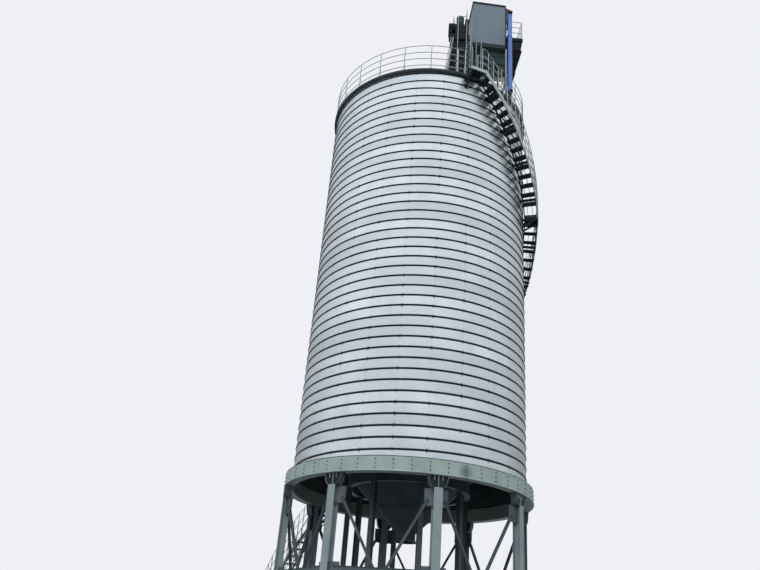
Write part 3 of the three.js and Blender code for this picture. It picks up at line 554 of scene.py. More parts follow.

# %% [markdown]
# ## Ring girder
# The shell stands on a welded girder: a smooth band 455 mm deep, with a lip at its foot and a
# near-black strip of painted shadow along its top edge. Columns of three bolts tie it to the
# stiffeners inside, every 7.5 degrees, and its quarters are bolted together. It is swept round
# once, and its bolts are copied round it.

# %% Girder band
RING_R, RING_FOOT, RING_TOP = 4.170, 6.745, 7.200
ring = sweep([(3.880, RING_FOOT), (4.185, RING_FOOT), (4.185, 6.759), (RING_R, 6.773),
              (RING_R, RING_TOP - 0.004), (RING_R - 0.004, RING_TOP), (3.880, RING_TOP)],
             step=1.875)
finish(soften(ring, 0.002), GIRDER)
# A near-black strip along the top edge: painted shadow of the gap between girder and shell.
shadow_line = finish(sweep(oblong(RING_R - 0.002, 7.180, RING_R + 0.0015, 7.1995), step=1.875),
              PAINTED_SHADOW_EDGE)
heads = bolts([spot(-29.15 + 7.5 * k, RING_R, z) for k in range(48)
               for z in (6.842, 6.971, 7.100)], 0.030, material=DARK_GREY_AND_SHADE)
fit(weld(ring, shadow_line, heads), "ring_girder", numbered("ring_girder", 4))

# %% [markdown]
# ## Legs
# Eight columns of wide-flange section carry the girder. Under it each column opens into a
# cup-shaped head: two curved side plates, a haunch plate between them and two fins. Gusset wings
# leave the web towards the next leg on either side, and a base plate with ribs stands on the
# ground. The leg is built up once, plate by plate as in a shop, and copied to its eight places.

# %% Column, cup-shaped head and base
LEG_ANGLES = [-33 + 45 * k for k in range(8)]
LEG_R, LEG_TOP = 4.045, 6.7447
under_head = LEG_TOP - 0.025
CUP = [(0.130, LEG_TOP - 0.375), (0.262, LEG_TOP - 0.372), (0.300, under_head)]


def cup_edge(inset=0.0):
    """The curved side of the head, from the flange up to the head plate."""
    shares = [i / 10 for i in range(11)]
    return [tuple((1 - s) ** 2 * a + 2 * s * (1 - s) * c + s * s * b - moved
                  for a, c, b, moved in zip(*CUP, (inset, 0))) for s in shares]


column = [block((-0.130, -0.125, 0.03), (0.130, -0.109, LEG_TOP - 0.365)),
          block((-0.130, 0.109, 0.03), (0.130, 0.125, under_head)),
          slab(0, 0, 0.008, 0.109, 0.03, under_head), slab(0, 0, 0.250, 0.190, 0, 0.030)]
cup = [slab(0, 0, 0.300, 0.125, under_head, LEG_TOP)]
for side in (1, -1):
    column.append(slab(side * 0.124, -0.084, 0.006, 0.034, LEG_TOP - 0.16, under_head))
    cup.append(upright_plate([(side * x, z) for x, z in cup_edge() + cup_edge(0.014)[::-1]],
                             -0.125, 0.125))
    rib = [(side * (0.130 + x), z) for x, z in
           ((0, 0.03), (0.105, 0.03), (0.105, 0.06), (0.02, 0.22), (0, 0.22))]
    column += [upright_plate(rib, y - 0.005, y + 0.005) for y in (-0.125, 0.125)]
# The cup head takes the darker grey and its haunch plate the treads' near-black: painted shade
# under the girder.
haunch = upright_plate(cup_edge() + [(-x, z) for x, z in cup_edge()[::-1]], -0.058, -0.046)
cup = weld(made(cup, DARK_GREY_AND_SHADE, 0.002), finish(haunch, TREAD_DARK_AND_SHADE))

# %% Gusset wings, anchor nuts and the eight places
wings = []
for side in (1, -1):
    for low, high, drop in ((5.870, 6.370, 0.16), (3.830, 4.240, 0.09), (0.060, 0.560, 0.09)):
        shape = [(0.010, low), (0.300, low), (0.380, low + drop), (0.380, high), (0.010, high)]
        wing = upright_plate([(side * x, z) for x, z in shape], -0.008, 0.008)
        lip = slab(side * 0.375, 0, 0.005, 0.030, low + drop, high)
        wings.append(move(weld(wing, lip), turned_to(side * 22.5)))
anchors = bolts([(x, y, 0.030) for x in (-0.2, 0.2) for y in (-0.155, 0.155)], 0.046, UP)
# The gusset wings are in the darker grey as well: painted shade, as they stand back from the
# column's face.
leg = weld(made(column, LEG, 0.002), cup, made(wings, DARK_GREY_AND_SHADE), anchors)
leg = move(leg, Matrix.Translation((0, -LEG_R, 0)))
for i, twin in enumerate(copies(leg, [turned_to(angle) for angle in LEG_ANGLES])):
    fit(set_down(twin), f"column_{i + 1}", [f"leg_{i + 1}"])

# %% [markdown]
# ## Bracing
# Each bay is braced by a V above and an inverted V below a level strut. The bars are pairs of
# channels, back to back, that clasp the gusset wings between them and are bolted through. The
# V's bars are cut level and welded down on the strut; the lower ones are bolted to a plate under
# it. One bay is made at the front and copied to the other seven.

# %% One bay of double channels
BAY_R, STRUT_Z, STRUT_DEPTH, MEET_Z = 3.7371, 4.035, 0.200, 3.790


def channel(depth):
    """A channel's outline: its back near the gusset, its flanges out from it."""
    d, t, back, web, flange = depth / 2, 0.009, 0.0085, 0.0145, 0.040
    return [(-d, back), (d, back), (d, flange), (d - t, flange), (d - t, web), (-d + t, web),
            (-d + t, flange), (-d, flange)]


def brace(start, end, depth):
    """Two channels back to back, with packing plates between them."""
    start, end = Vector(start), Vector(end)
    along = (end - start).normalized() * 0.04
    pair = [section(channel(depth), start, end, TO_VIEWER),
            section(channel(depth), end, start, -TO_VIEWER)]
    for share in (0.28, 0.5, 0.72):
        middle = start.lerp(end, share)
        pair.append(section(oblong(-0.03, -0.0088, 0.03, 0.0088), middle - along,
                            middle + along, TO_VIEWER))
    return weld(*pair)


bars, holes = [], []
for side in (-1, 1):
    for z in (6.080, 0.380):
        start, end = Vector((side * 1.288, 0, z)), Vector((0, 0, MEET_Z))
        along = (end - start).normalized()
        bars.append(brace(start, end - along * 0.15, 0.075))
        holes += [start + along * s for s in (0.035, 0.095)]
        if z < MEET_Z:
            holes += [end - along * s for s in (0.18, 0.24)]
    holes += [Vector((side * x, 0, STRUT_Z + z)) for x in (1.20, 1.29) for z in (-0.05, 0.05)]
strut_top = (0, 0, STRUT_Z + STRUT_DEPTH / 2 + 0.001)
bars.append(cut(weld(bars.pop(0), bars.pop(1)), strut_top, UP, clear_inner=True, use_fill=True))
bars.append(brace((-1.343, 0, STRUT_Z), (1.343, 0, STRUT_Z), STRUT_DEPTH))
plate = upright_plate([(-0.28, 3.60), (-0.20, 3.51), (0.20, 3.51), (0.28, 3.60), (0.28, 4.07),
                       (-0.28, 4.07)], -0.008, 0.008)
heads = bolts([p + TO_VIEWER * 0.0145 for p in holes], 0.030, TO_VIEWER)
bay = weld(made(bars, BRACE_DARK_AND_SHADE), made([plate], DARK_GREY_AND_SHADE), heads)
bay = move(bay, Matrix.Translation((0, -BAY_R, 0)))
for i, twin in enumerate(copies(bay, [turned_to(-10.5 + 45 * k) for k in range(8)])):
    fit(set_down(twin), f"bracing_bay_{i + 1}", [f"leg_bracing_{i + 1}"])

# %% [markdown]
# ## Cone bottom and inner frame
# Inside the girder a steel cone at 45 degrees funnels the grain to a flanged outlet. Its sheets
# overlap under flat laps that run up the slope, and an inner ring beam on eight posts carries
# it. All of it hangs in the shade, so its steel is plain and its joints do the work.

# %% Cone, laps and outlet
def under_cone(radius):
    return 5.6756 + radius - 0.320


cone = sweep([(0.320, under_cone(0.320)), (3.9244, under_cone(3.9244)),
              (3.9244, 9.300), (0.320, 5.6956)])
lap = section(oblong(-0.045, 0, 0.045, 0.010), (0, -0.40, under_cone(0.40)),
              (0, -3.87, under_cone(3.87)), (0, -1, -1))
laps = repeat(soften(lap, 0.002), [turned_to(11.25 + 22.5 * k) for k in range(16)])
hoops = [sweep([(r, under_cone(r) - 0.07), (r + 0.012, under_cone(r) - 0.07),
                (r + 0.012, under_cone(r) + 0.02), (r, under_cone(r) + 0.008)])
         for r in (1.05, 2.95)]
cone = finish(weld(cone, laps, *hoops), HOPPER_STEEL)
fit(cone, "cone_hopper", numbered("cone_bottom", 4))
collar = sweep([(0.303, 5.3956), (0.400, 5.3956), (0.400, 5.4156), (0.319, 5.4156),
                (0.319, 5.7056), (0.303, 5.7056)], step=7.5)
ring_bolts = bolts([spot(15 + 30 * k, 0.362, 5.4156) for k in range(12)], 0.026, UP)
collar = weld(made([collar], HOPPER_STEEL, 0.002), ring_bolts)
fit(collar, "outlet_ring", ["outlet_collar"])

# %% Ring beam and posts
beam = sweep([(1.900, 6.950), (2.100, 6.950), (2.100, 6.970), (2.060, 6.972),
              (2.060, under_cone(2.06) - 0.001), (1.940, under_cone(1.94) - 0.001),
              (1.940, 6.972), (1.900, 6.970)])
post = weld(stud(wide_flange(0.160, 0.160, 0.010), 0, -2.0, 0.03, 6.95),
            slab(0, -2.0, 0.17, 0.17, 0, 0.03), slab(0, -2.0, 0.12, 0.10, 6.93, 6.95))
posts = repeat(post, [turned_to(angle) for angle in LEG_ANGLES])
nuts = bolts([turned_to(angle) @ Vector((x, -2.0 + y, 0.03)) for angle in LEG_ANGLES
              for x in (-0.13, 0.13) for y in (-0.13, 0.13)], 0.036, UP)
fit(weld(made([beam, posts], BRACE_DARK_AND_SHADE, 0.002), nuts), "inner_support_frame",
    ["inner_frame"])

# %% [markdown]
# ## Roof and guardrail
# The roof is a low cone of sheets with standing seams up the slope, set behind a slim eave ring.
# Its skin is swept, its seams are copied round, and the eave gets a near-black edge of painted
# shadow under the roof's rim. The guardrail is drawn tube: four rails through posts every 15
# degrees, open where the stair lands.

# %% Roof skin, standing seams and eave
SLOPE = math.tan(math.radians(15))


def roof_height(radius):
    return 22.215 + max(0.0, 4.050 - radius) * SLOPE


CAP_R, crown = 0.45, roof_height(0.45)
skin = sweep([(0, crown - 0.03), (CAP_R, crown - 0.03), (4.005, 22.197), (4.020, 22.223),
              (CAP_R, crown), (CAP_R, crown + 0.20), (0.43, crown + 0.205), (0, crown + 0.26)])
seam = section(oblong(-0.012, -0.004, 0.012, 0.034),
               (0, -0.47, roof_height(0.47)), (0, -3.90, roof_height(3.90)))
seams = repeat(soften(seam, 0.004), [turned_to(7.5 + 15 * k) for k in range(24)])
skirt = sweep(oblong(CAP_R, crown + 0.145, CAP_R + 0.05, crown + 0.155), step=7.5)
eave = sweep([(3.850, 22.1253), (4.036, 22.1253), (4.040, 22.129), (4.040, 22.180),
              (4.025, 22.197), (3.850, 22.197)], step=1.875)
# The eave's edge is near-black: painted shadow under the roof's rim.
edge = sweep([(4.025, 22.140), (4.050, 22.140), (4.050, 22.217), (3.930, 22.252),
              (3.930, 22.246), (4.025, 22.211)], step=1.875)
roof = weld(finish(weld(skin, seams, skirt), ROOF_SHEET), finish(eave, BRACE_DARK_AND_SHADE),
            made([edge], PAINTED_SHADOW_EDGE, 0.002))
fit(roof, "roof_cone", ["roof", "roof_cap"])

# %% Guardrail of drawn tube
GUARD_R, GATE = 4.000, (26.2, 377.7)
rails = [sweep(tube(GUARD_R, height, 0.014), GATE[0], GATE[1] - GATE[0], step=3)
         for height in (22.420, 22.750, 23.070, 23.410)]
post = weld(pole(0, -GUARD_R, 22.235, 23.410, 0.0175, 10),
            block((-0.05, -GUARD_R - 0.03, 22.237), (0.05, -GUARD_R + 0.05, 22.255)),
            rod((0, -GUARD_R + 0.02, 22.71), (0, -GUARD_R + 0.12, 22.265), 0.008, 6))
angles = [GATE[0]] + [-0.8 + 15 * k for k in range(3, 26)] + [GATE[1] + 0.7]
rails.append(repeat(post, [turned_to(angle) for angle in angles]))
fit(finish(weld(*rails), TUBE), "guardrail", numbered("roof_guardrail", 2))

# %% [markdown]
# ## Stair
# Five flights of sixteen risers wind down round the shell, with three landings. Their outer
# stringers are channels rolled to the helix, the inner ones are slim. The treads are pans of
# folded sheet that hang between them, with two thin carriers below. A stringer is its section
# swept as a screw; a tread is one block, hollowed from below by an inset and an extrusion, and
# copied down the flight.

# %% Flights, as the CAD frame lays them out
RISERS, STAIR_TOP = 16, 22.180
RISE = STAIR_TOP / (5 * RISERS)
FALL = -RISERS * RISE
HIGH, LOW = (4.000, 4.540), (4.240, 4.780)
FLIGHTS = [(27, 49, 8.2, HIGH), (87, 48, 11, HIGH), (135, 49, 0, HIGH),
           (202, 44, 18, LOW), (246, 44, 0, LOW)]
TOP_RETURN = 2.5
BRACKET_RISERS, TRESTLE_RISERS = (2, 6, 10, 14), (4, 10)
ARM_TOP, ARM_DEPTH, STRUT_REACH = 0.130, 0.100, 0.560


def stringer(radius, inward, low=-0.150, high=0.085):
    """A channel section: its web on the outside, its flanges towards the treads."""
    f, t = 0.042 * inward, 0.008 * inward
    return [(radius, low), (radius, high), (radius + f, high), (radius + f, high - 0.007),
            (radius + t, high - 0.007), (radius + t, low + 0.007), (radius + f, low + 0.007),
            (radius + f, low)]


def wind(outline, height, start, turn, fall=0.0, paint=STAIR):
    """A section wound round the silo from a height, and painted."""
    return finish(sweep([(r, z + height) for r, z in outline], start, turn, fall, 1.5), paint)


def landing_width(angle, first, landing, outer):
    """Lets a landing widen evenly from the high stair's width to the low one's."""
    return HIGH[1] + (outer - HIGH[1]) * min(1, max(0, (angle - first) / landing))


# %% One tread, hollowed from below
def tread(inner, outer, turn):
    pan = sweep(oblong(inner + 0.010, -0.040, outer - 0.010, 0), 0, turn, step=2.0)
    for face in pan.data.polygons:
        face.select = face.normal.z < -0.9
    bpy.ops.object.mode_set(mode="EDIT")
    bpy.ops.mesh.select_mode(type="FACE")
    bpy.ops.mesh.inset(thickness=0.008, use_even_offset=True)
    bpy.ops.mesh.extrude_region_move(TRANSFORM_OT_translate={"value": (0, 0, 0.034)})
    bpy.ops.object.mode_set(mode="OBJECT")
    return finish(face_outwards(pan), TREAD_DARK_AND_SHADE)


# %% Wall brackets and trestles
def wall_bracket(angle, height, wall, outer, braced):
    """A channel arm on a wall pad; under a landing, also an angle strut back to the wall."""
    top = height - ARM_TOP
    pieces = [section([(-0.040, -0.080), (0.040, -0.080), (0.040, -0.074), (-0.034, -0.074),
                       (-0.034, -0.006), (0.040, -0.006), (0.040, 0), (-0.040, 0)],
                      (0, -wall + 0.001, top), (0, -outer + 0.005, top)),
              slab(0, -wall - 0.004, 0.090, 0.006, top - 0.13, top + 0.05)]
    if braced:
        foot = top - min(0.36, 0.8 * (outer - wall))
        pieces += [section([(-0.028, -0.028), (0.028, -0.028), (0.028, -0.022),
                            (-0.022, -0.022), (-0.022, 0.028), (-0.028, 0.028)],
                           (0, -wall + 0.001, foot), (0, -outer + 0.120, top - 0.050)),
                   slab(0, -wall - 0.004, 0.075, 0.006, foot - 0.10, foot + 0.10)]
    pads = bolts([(x, -wall - 0.010, top + z) for x in (-0.065, 0.065)
                  for z in (-0.105, 0.025)], 0.024, TO_VIEWER)
    # Brackets take the treads' near-black: painted shade under the stair.
    return move(weld(finish(weld(*pieces), TREAD_DARK_AND_SHADE), pads), turned_to(angle))


def trestle(angle, height, inner, outer):
    top = height - ARM_TOP
    pieces = [block((-0.045, -outer, top - 0.090), (0.045, -inner, top))]
    for r in (inner + 0.045, outer - 0.045):
        pieces += [stud(wide_flange(0.090, 0.090, 0.008), 0, -r, 0.012, top - 0.01),
                   slab(0, -r, 0.095, 0.045, 0, 0.020)]
    if top > 1.6:
        pieces += [section(oblong(-0.020, -0.020, 0.020, 0.020), (0, -inner - 0.06, low),
                           (0, -outer + 0.06, high))
                   for low, high in ((0.35, 1.45), (top - 1.35, top - 0.25))]
    return move(finish(weld(*pieces), STAIR), turned_to(angle))


# %% Build the five flights
def flight(number, start, turn, landing, radii):
    inner, outer = radii
    top = STAIR_TOP + number * FALL
    step = turn / RISERS
    steel = [wind(stringer(inner, 1, -0.070, 0.010), top, start, turn, FALL, TREAD_DARK_AND_SHADE),
             wind(stringer(outer, -1), top, start, turn, FALL)]
    run = turn - step * 0.9
    for r in (inner + (outer - inner) / 3, inner + (outer - inner) * 2 / 3):
        steel.append(wind(oblong(r - 0.007, -0.372, r + 0.007, -0.318), top, start, run,
                          FALL * run / turn, TREAD_DARK_AND_SHADE))
    plates = repeat(tread(inner, outer, step - 0.2),
                    [turned_to(start + (k - 1) * step + 0.1, top - k * RISE)
                     for k in range(1, RISERS)])
    held = [(start + k * step, top - k * RISE, outer, False) for k in BRACKET_RISERS]
    if landing:
        first = start - landing
        widen = (outer - HIGH[1]) / landing
        near = 4.052 if number == 0 else HIGH[0]
        steel.append(wind(stringer(near, 1, -0.090, 0.030), top, first, landing, paint=BRACE_DARK_AND_SHADE))
        rim = wind(stringer(HIGH[1], -1, -0.105, 0.030), top, first, landing)
        deck = wind(oblong(near + 0.01, -0.008, HIGH[1] - 0.01, 0), top, first + 0.02,
                    landing - 0.04, paint=TREAD_DARK_AND_SHADE)
        steel += [spread(rim, first, widen), spread(deck, first, widen, beyond=4.3)]
        for k in range(5):
            a = first + 0.6 + (landing - 1.2) * k / 4
            reach = landing_width(a, first, landing, outer) - 0.01
            joist = block((-0.004, -reach, top - 0.088), (0.004, -near - 0.01, top - 0.008))
            steel.append(move(finish(joist, BRACE_DARK_AND_SHADE), turned_to(a)))
        held += [(a, top, landing_width(a, first, landing, outer), True)
                 for a in ([first + 1, start - landing / 2] if landing > 10 else [first + 1])]
    supports = []
    for a, height, reach, braced in held:
        arm = height - ARM_TOP - ARM_DEPTH
        if arm - STRUT_REACH > WALL_FOOT:
            supports.append(wall_bracket(a, height, WALL_R, reach, braced))
        elif RING_FOOT + 0.06 < arm < RING_TOP - 0.06:
            supports.append(wall_bracket(a, height, RING_R, reach, braced))
    for k in TRESTLE_RISERS:
        height = top - k * RISE
        if height < RING_FOOT:
            supports.append(trestle(start + k * step, height, inner, outer))
    whole = weld(soften(weld(*steel), 0.0015), soften(plates, 0.0015), *supports)
    if number == 4:
        cut(whole, (0, 0, 0.0005), UP, clear_inner=True, use_fill=True)
    fit(whole, f"flight_{number + 1}", [f"stair_flight_{number + 1}"])


for number, laid_out in enumerate(FLIGHTS):
    flight(number, *laid_out)

# %% [markdown]
# ### Handrails
# The handrails are the same drawn tube as the roof's: three rails, on a post at every tread
# that stands on the stringer. The low flights also have an inner rail with two tubes. Rails are
# swept to the helix and posts copied along it.

# %% Handrails
def handrail(number, start, turn, landing, radii, outside=True):
    inner, outer = radii
    top = STAIR_TOP + number * FALL
    r = outer - 0.006 if outside else inner + 0.006
    rows, every = ((0.360, 0.710, 1.060), 1) if outside else ((0.530, 1.060), 2)
    share = 1 - 0.5 / turn
    parts = [sweep(tube(r, top + row, 0.015), start, turn * share, FALL * share, 1.5)
             for row in rows]
    gone = [(0.4 + every * n) / RISERS for n in range(RISERS)]
    gone = [part for part in gone if part < 1 - 0.5 / RISERS] + [share]
    post = weld(pole(0, -r, 0.06, 1.060, 0.0155),
                block((-0.026, -r - 0.006, 0.0), (0.026, -r + 0.018, 0.092)))
    posts = repeat(soften(post, 0.002),
                   [turned_to(start + turn * part, top + FALL * part) for part in gone])
    if landing and outside:
        run = TOP_RETURN if number == 0 else landing
        first = start - run
        widen = (outer - HIGH[1]) / landing
        parts += [spread(sweep(tube(HIGH[1] - 0.006, top + row, 0.015), first, run, step=1.5),
                         first, widen) for row in rows]
        count = max(1, round(run / 4))
        for a in [first + 0.4 + (run - 0.4) * n / count for n in range(count)]:
            reach = landing_width(a, first, landing, outer) - 0.006
            parts.append(move(pole(0, -reach, top + 0.02, top + 1.060, 0.0155), turned_to(a)))
    side, node = ("outer", "stair_handrail") if outside else ("inner", "stair_inner_rail")
    fit(finish(weld(*parts, posts), TUBE), f"{side}_handrail_{number + 1}",
        [f"{node}_{number + 1}"])


for number, laid_out in enumerate(FLIGHTS):
    handrail(number, *laid_out)
    if laid_out[3] == LOW:
        handrail(number, *laid_out, outside=False)

# %% [markdown]
# ## Head house, hopper and deck
# On the roof a clad house stands over a lopsided receiving hopper on a frame of posts, with a
# deck beside it under a canopy. The house is a folded-sheet box with seams and corner flashings,
# so its walls are an upright plate with strips on it. The whole group is turned 5 degrees.

# %% Clad house
HEAD = turned_to(5)
LEFT, RIGHT, FRONT, BACK, HOUSE_FOOT = 1.385, 2.760, -2.680, -1.300, 25.150
HOUSE_FALL = 0.058 / (RIGHT - LEFT)


def house_top(x):
    return 27.4145 - HOUSE_FALL * (x - LEFT)


wall_left, wall_right = LEFT + 0.006, RIGHT - 0.006
walls = [upright_plate([(wall_left, HOUSE_FOOT), (wall_right, HOUSE_FOOT),
                        (wall_right, house_top(wall_right)), (wall_left, house_top(wall_left))],
                       FRONT + 0.006, BACK - 0.006)]
for x in (LEFT, 1.843, 2.302, RIGHT):
    wide = 0.018 if LEFT < x < RIGHT else 0.040
    low, high = max(LEFT, x - wide), min(RIGHT, x + wide)
    for front, back in ((FRONT, FRONT + 0.012), (BACK - 0.012, BACK)):
        walls.append(block((low, front, HOUSE_FOOT), (high, back, house_top(high))))
for low, high in ((LEFT, LEFT + 0.012), (RIGHT - 0.012, RIGHT)):
    for y, wide in ((-2.672, 0.040), (-2.22, 0.018), (-1.76, 0.018), (-1.308, 0.040)):
        walls.append(block((low, max(FRONT, y - wide), HOUSE_FOOT),
                           (high, min(BACK, y + wide), house_top(high))))
walls.append(block((LEFT, FRONT, HOUSE_FOOT), (RIGHT, BACK, HOUSE_FOOT + 0.040)))
fit(move(made(walls, CLADDING, 0.003), HEAD), "clad_house", ["head_house"])

# %% Roof sheet, canopy and its side hoods
SHEET_FRONT, SHEET_BACK, EDGE = -2.710, -1.270, 0.008
SHEET_LEFT, SHEET_RIGHT, CANOPY_END = 1.355, 2.790, 3.075


def sheet_over(low, high, height, fall, thick, front=SHEET_FRONT, back=SHEET_BACK):
    """A flat sheet that falls to the right, given by its upper left edge."""
    drop = fall * (high - low)
    return upright_plate([(low, height - thick), (high, height - drop - thick),
                          (high, height - drop), (low, height)], front, back)


sheets = [sheet_over(SHEET_LEFT, SHEET_RIGHT, 27.476, HOUSE_FALL, 0.024),
          sheet_over(SHEET_RIGHT - 0.002, CANOPY_END, 27.249, 0.393, 0.020)]
for y, inward in ((SHEET_FRONT, 1), (SHEET_BACK, -1)):
    front, back = sorted((y, y + EDGE * inward))
    sheets.append(sheet_over(SHEET_LEFT, SHEET_RIGHT, 27.475, HOUSE_FALL, 0.058, front, back))
    front, back = sorted((y, y + 0.006 * inward))
    sheets.append(sheet_over(SHEET_RIGHT - 0.002, CANOPY_END, 27.245, 0.393, 0.090, front, back))
    front, back = sorted((y + 0.004 * inward, y + 0.016 * inward))
    sheets.append(block((2.762, front, 26.480), (2.905, back, 27.160)))
for low, high, foot, top in ((SHEET_LEFT, SHEET_LEFT + EDGE, 27.417, 27.470),
                             (SHEET_RIGHT - EDGE, SHEET_RIGHT, 27.190, 27.412),
                             (CANOPY_END - 0.006, CANOPY_END, 27.030, 27.135)):
    sheets.append(block((low, SHEET_FRONT, foot), (high, SHEET_BACK, top)))
for x in (1.72, 2.08, 2.44):
    sheets.append(sheet_over(x - 0.012, x + 0.012, 27.495 - HOUSE_FALL * (x - SHEET_LEFT),
                             HOUSE_FALL, 0.020))
fit(move(made(sheets, TRIM), HEAD), "house_roof_sheet", ["head_house_roof"])

# %% Receiving hopper and spout
def paint_in_two(piece, across, left, right):
    """Cuts the skin along an upright line and paints what lies right of it differently."""
    finish(cut(piece, (across, 0, 0), (1, 0, 0)), left)
    piece.data.materials.append(right)
    for face in piece.data.polygons:
        face.material_index = 1 if face.center.x > across else 0
    return piece


def frame_round(low, high, bar):
    """The bars round a rectangle, as low and high corners: front, back, left and right."""
    (left, front), (right, back) = low, high
    return (((left - bar, front - bar), (right + bar, front + bar)),
            ((left - bar, back - bar), (right + bar, back + bar)),
            ((left - bar, front - bar), (left + bar, back + bar)),
            ((right - bar, front - bar), (right + bar, back + bar)))


RIM, THROAT, OUTLET = 24.990, 24.080, (3.040, -2.000)
MOUTH = (1.420, -2.580), (3.430, -1.020)
NECK = (OUTLET[0] - 0.145, OUTLET[1] - 0.145), (OUTLET[0] + 0.145, OUTLET[1] + 0.145)
body = block((0, 0, 0), (1, 1, 1))
for point in body.data.vertices:
    right, back, upper = (c > 0.5 for c in point.co)
    ends, height = (MOUTH, RIM - 0.055) if upper else (NECK, THROAT)
    point.co = (ends[right][0], ends[back][1], height)
(_, mouth_front), (mouth_right, mouth_back) = MOUTH
pieces = [body, block((*MOUTH[0], RIM - 0.058), (*MOUTH[1], 25.1495)),
          slab(*OUTLET, 0.125, 0.125, 22.40, 24.085)]
for low, high in frame_round((1.400, -2.600), (3.450, -1.000), 0.025):
    pieces += [block((*low, top - 0.010), (*high, top)) for top in (RIM, RIM - 0.014)]
for k in range(5):
    x = 1.80 + 0.40 * k
    top = 25.1485 if x < SHEET_RIGHT else 25.5335
    for y in (mouth_front - 0.008, mouth_back):
        pieces.append(block((x - 0.012, y, RIM), (x + 0.012, y + 0.008, top)))
saddle = roof_height(math.hypot(*OUTLET)) + 0.04
for height, half in ((24.075, 0.245), (saddle, 0.195)):
    pieces += [slab(*OUTLET, half, half, z, z + 0.013) for z in (height, height + 0.017)]
for share in (0.30, 0.62):
    z = RIM - 0.055 + (THROAT - RIM + 0.055) * share
    (left, front), (right, back) = [[a + (b - a) * share for a, b in zip(wide, narrow)]
                                    for wide, narrow in zip(MOUTH, NECK)]
    for low, high in (((left - 0.03, front - 0.03), (right, front + 0.01)),
                      ((left - 0.03, back - 0.01), (right, back + 0.03)),
                      ((left - 0.03, front - 0.03), (left + 0.03, back + 0.03)),
                      ((right - 0.03, front - 0.03), (right + 0.02, back + 0.03))):
        pieces.append(block((*low, z - 0.004), (*high, z + 0.004)))
flared = [upright_plate([(SHEET_RIGHT, RIM - 0.01), (mouth_right, RIM - 0.01),
                         (3.507, 25.5345), (SHEET_RIGHT, 25.5345)], mouth_front, mouth_back)]
for k in range(4):
    y = -2.27 + 0.31 * k
    flared.append(upright_plate([(3.429, RIM), (3.438, RIM), (3.515, 25.533), (3.505, 25.533)],
                                y - 0.012, y + 0.012))
# The dark green band under the house's foot is painted shade in the gap there.
shade = [block((1.392, -2.672, RIM - 0.03), (2.752, -2.632, 25.1495)),
         block((1.392, -1.348, RIM + 0.05), (2.752, -1.308, 25.1495))]
# Right of x = 2.80 the hopper, and the flared box under the deck, are near-black: painted shade on
# faces turned from the light.
hopper = weld(paint_in_two(soften(weld(*pieces), 0.003), 2.80, GREEN, MACHINE_DARK_AND_SHADE),
              finish(weld(*shade), RIM_GREEN), made(flared, MACHINE_DARK_AND_SHADE, 0.003))
holes = [(OUTLET[0] - 0.20 + 0.133 * k, y, 24.105) for k in range(4) for y in (-2.215, -1.785)]
holes += [(1.48 + 0.24 * k, -2.606, RIM) for k in range(9)]
fit(move(weld(hopper, bolts(holes, 0.02, UP)), HEAD), "receiving_hopper",
    ["head_hopper"])

# %% Posts and beams under the hopper, and two conduits
POSTS_X, POSTS_Y = (LEFT, 2.800), (-2.640, -0.960)
post_top, tie_height = RIM - 0.0603, 23.250
frame_parts, top_beams = [], []
for x in POSTS_X:
    for y in POSTS_Y:
        base = roof_height(math.hypot(x, y)) - 0.03
        frame_parts += [stud(wide_flange(0.070, 0.070, 0.008), x, y, base, post_top),
                        slab(x, y, 0.075, 0.075, base + 0.02, base + 0.05)]
    frame_parts.append(section(wide_flange(0.070, 0.090, 0.007), (x, POSTS_Y[0], tie_height),
                               (x, POSTS_Y[1], tie_height)))
for y in POSTS_Y:
    for beams, z in ((frame_parts, tie_height), (top_beams, post_top - 0.046)):
        beams.append(section(wide_flange(0.070, 0.090, 0.007), (POSTS_X[0], y, z),
                             (POSTS_X[1], y, z)))
for x in (1.544, 1.744):
    frame_parts.append(pole(x, -2.700, roof_height(math.hypot(x, 2.7)) - 0.02, 25.140, 0.021, 10))
    for z in (22.60, 23.25, 24.10, 24.88):
        frame_parts.append(slab(x, -2.683, 0.034, 0.007, z - 0.016, z + 0.016))
posts = weld(made(frame_parts, LEG), made(top_beams, RIM_GREEN))
fit(move(posts, HEAD), "hopper_posts", ["head_frame"])

# %% Deck with its grating and rail
DECK, DECK_FOOT = 25.690, 25.540
DECK_LEFT, DECK_RIGHT, DECK_FRONT, DECK_BACK = 2.790, 3.520, -2.620, -0.980
bars = []
for y in (DECK_FRONT + 0.004, DECK_BACK - 0.004):
    bars.append(block((DECK_LEFT, y - 0.004, DECK_FOOT), (DECK_RIGHT, y + 0.004, DECK)))
for x in (DECK_LEFT + 0.004, DECK_RIGHT - 0.004):
    bars.append(block((x - 0.004, DECK_FRONT, DECK_FOOT), (x + 0.004, DECK_BACK, DECK)))
for k in range(1, 24):
    x = DECK_LEFT + (DECK_RIGHT - DECK_LEFT) * k / 24
    bars.append(block((x - 0.0025, DECK_FRONT + 0.005, DECK - 0.032),
                      (x + 0.0025, DECK_BACK - 0.005, DECK - 0.002)))
ribs = [(DECK_FRONT + (DECK_BACK - DECK_FRONT) * k / 12, 0.003, DECK - 0.020, DECK - 0.008)
        for k in range(1, 12)]
for y, deep, low, high in ribs + [(y, 0.02, DECK_FOOT, DECK - 0.0325) for y in (-2.2, -1.8, -1.4)]:
    bars.append(block((DECK_LEFT + 0.005, y - deep, low), (DECK_RIGHT - 0.005, y + deep, high)))
bars.append(block((DECK_LEFT + 0.006, DECK_FRONT + 0.006, DECK_FOOT - 0.003),
                  (DECK_RIGHT - 0.006, DECK_BACK - 0.006, DECK_FOOT + 0.005)))
fit(move(finish(weld(*bars), MACHINE_DARK_AND_SHADE), HEAD), "canopy_deck", ["head_deck"])
corners = [(2.820, -2.590), (3.490, -2.590), (3.490, -1.800), (3.490, -1.010), (2.820, -1.010)]
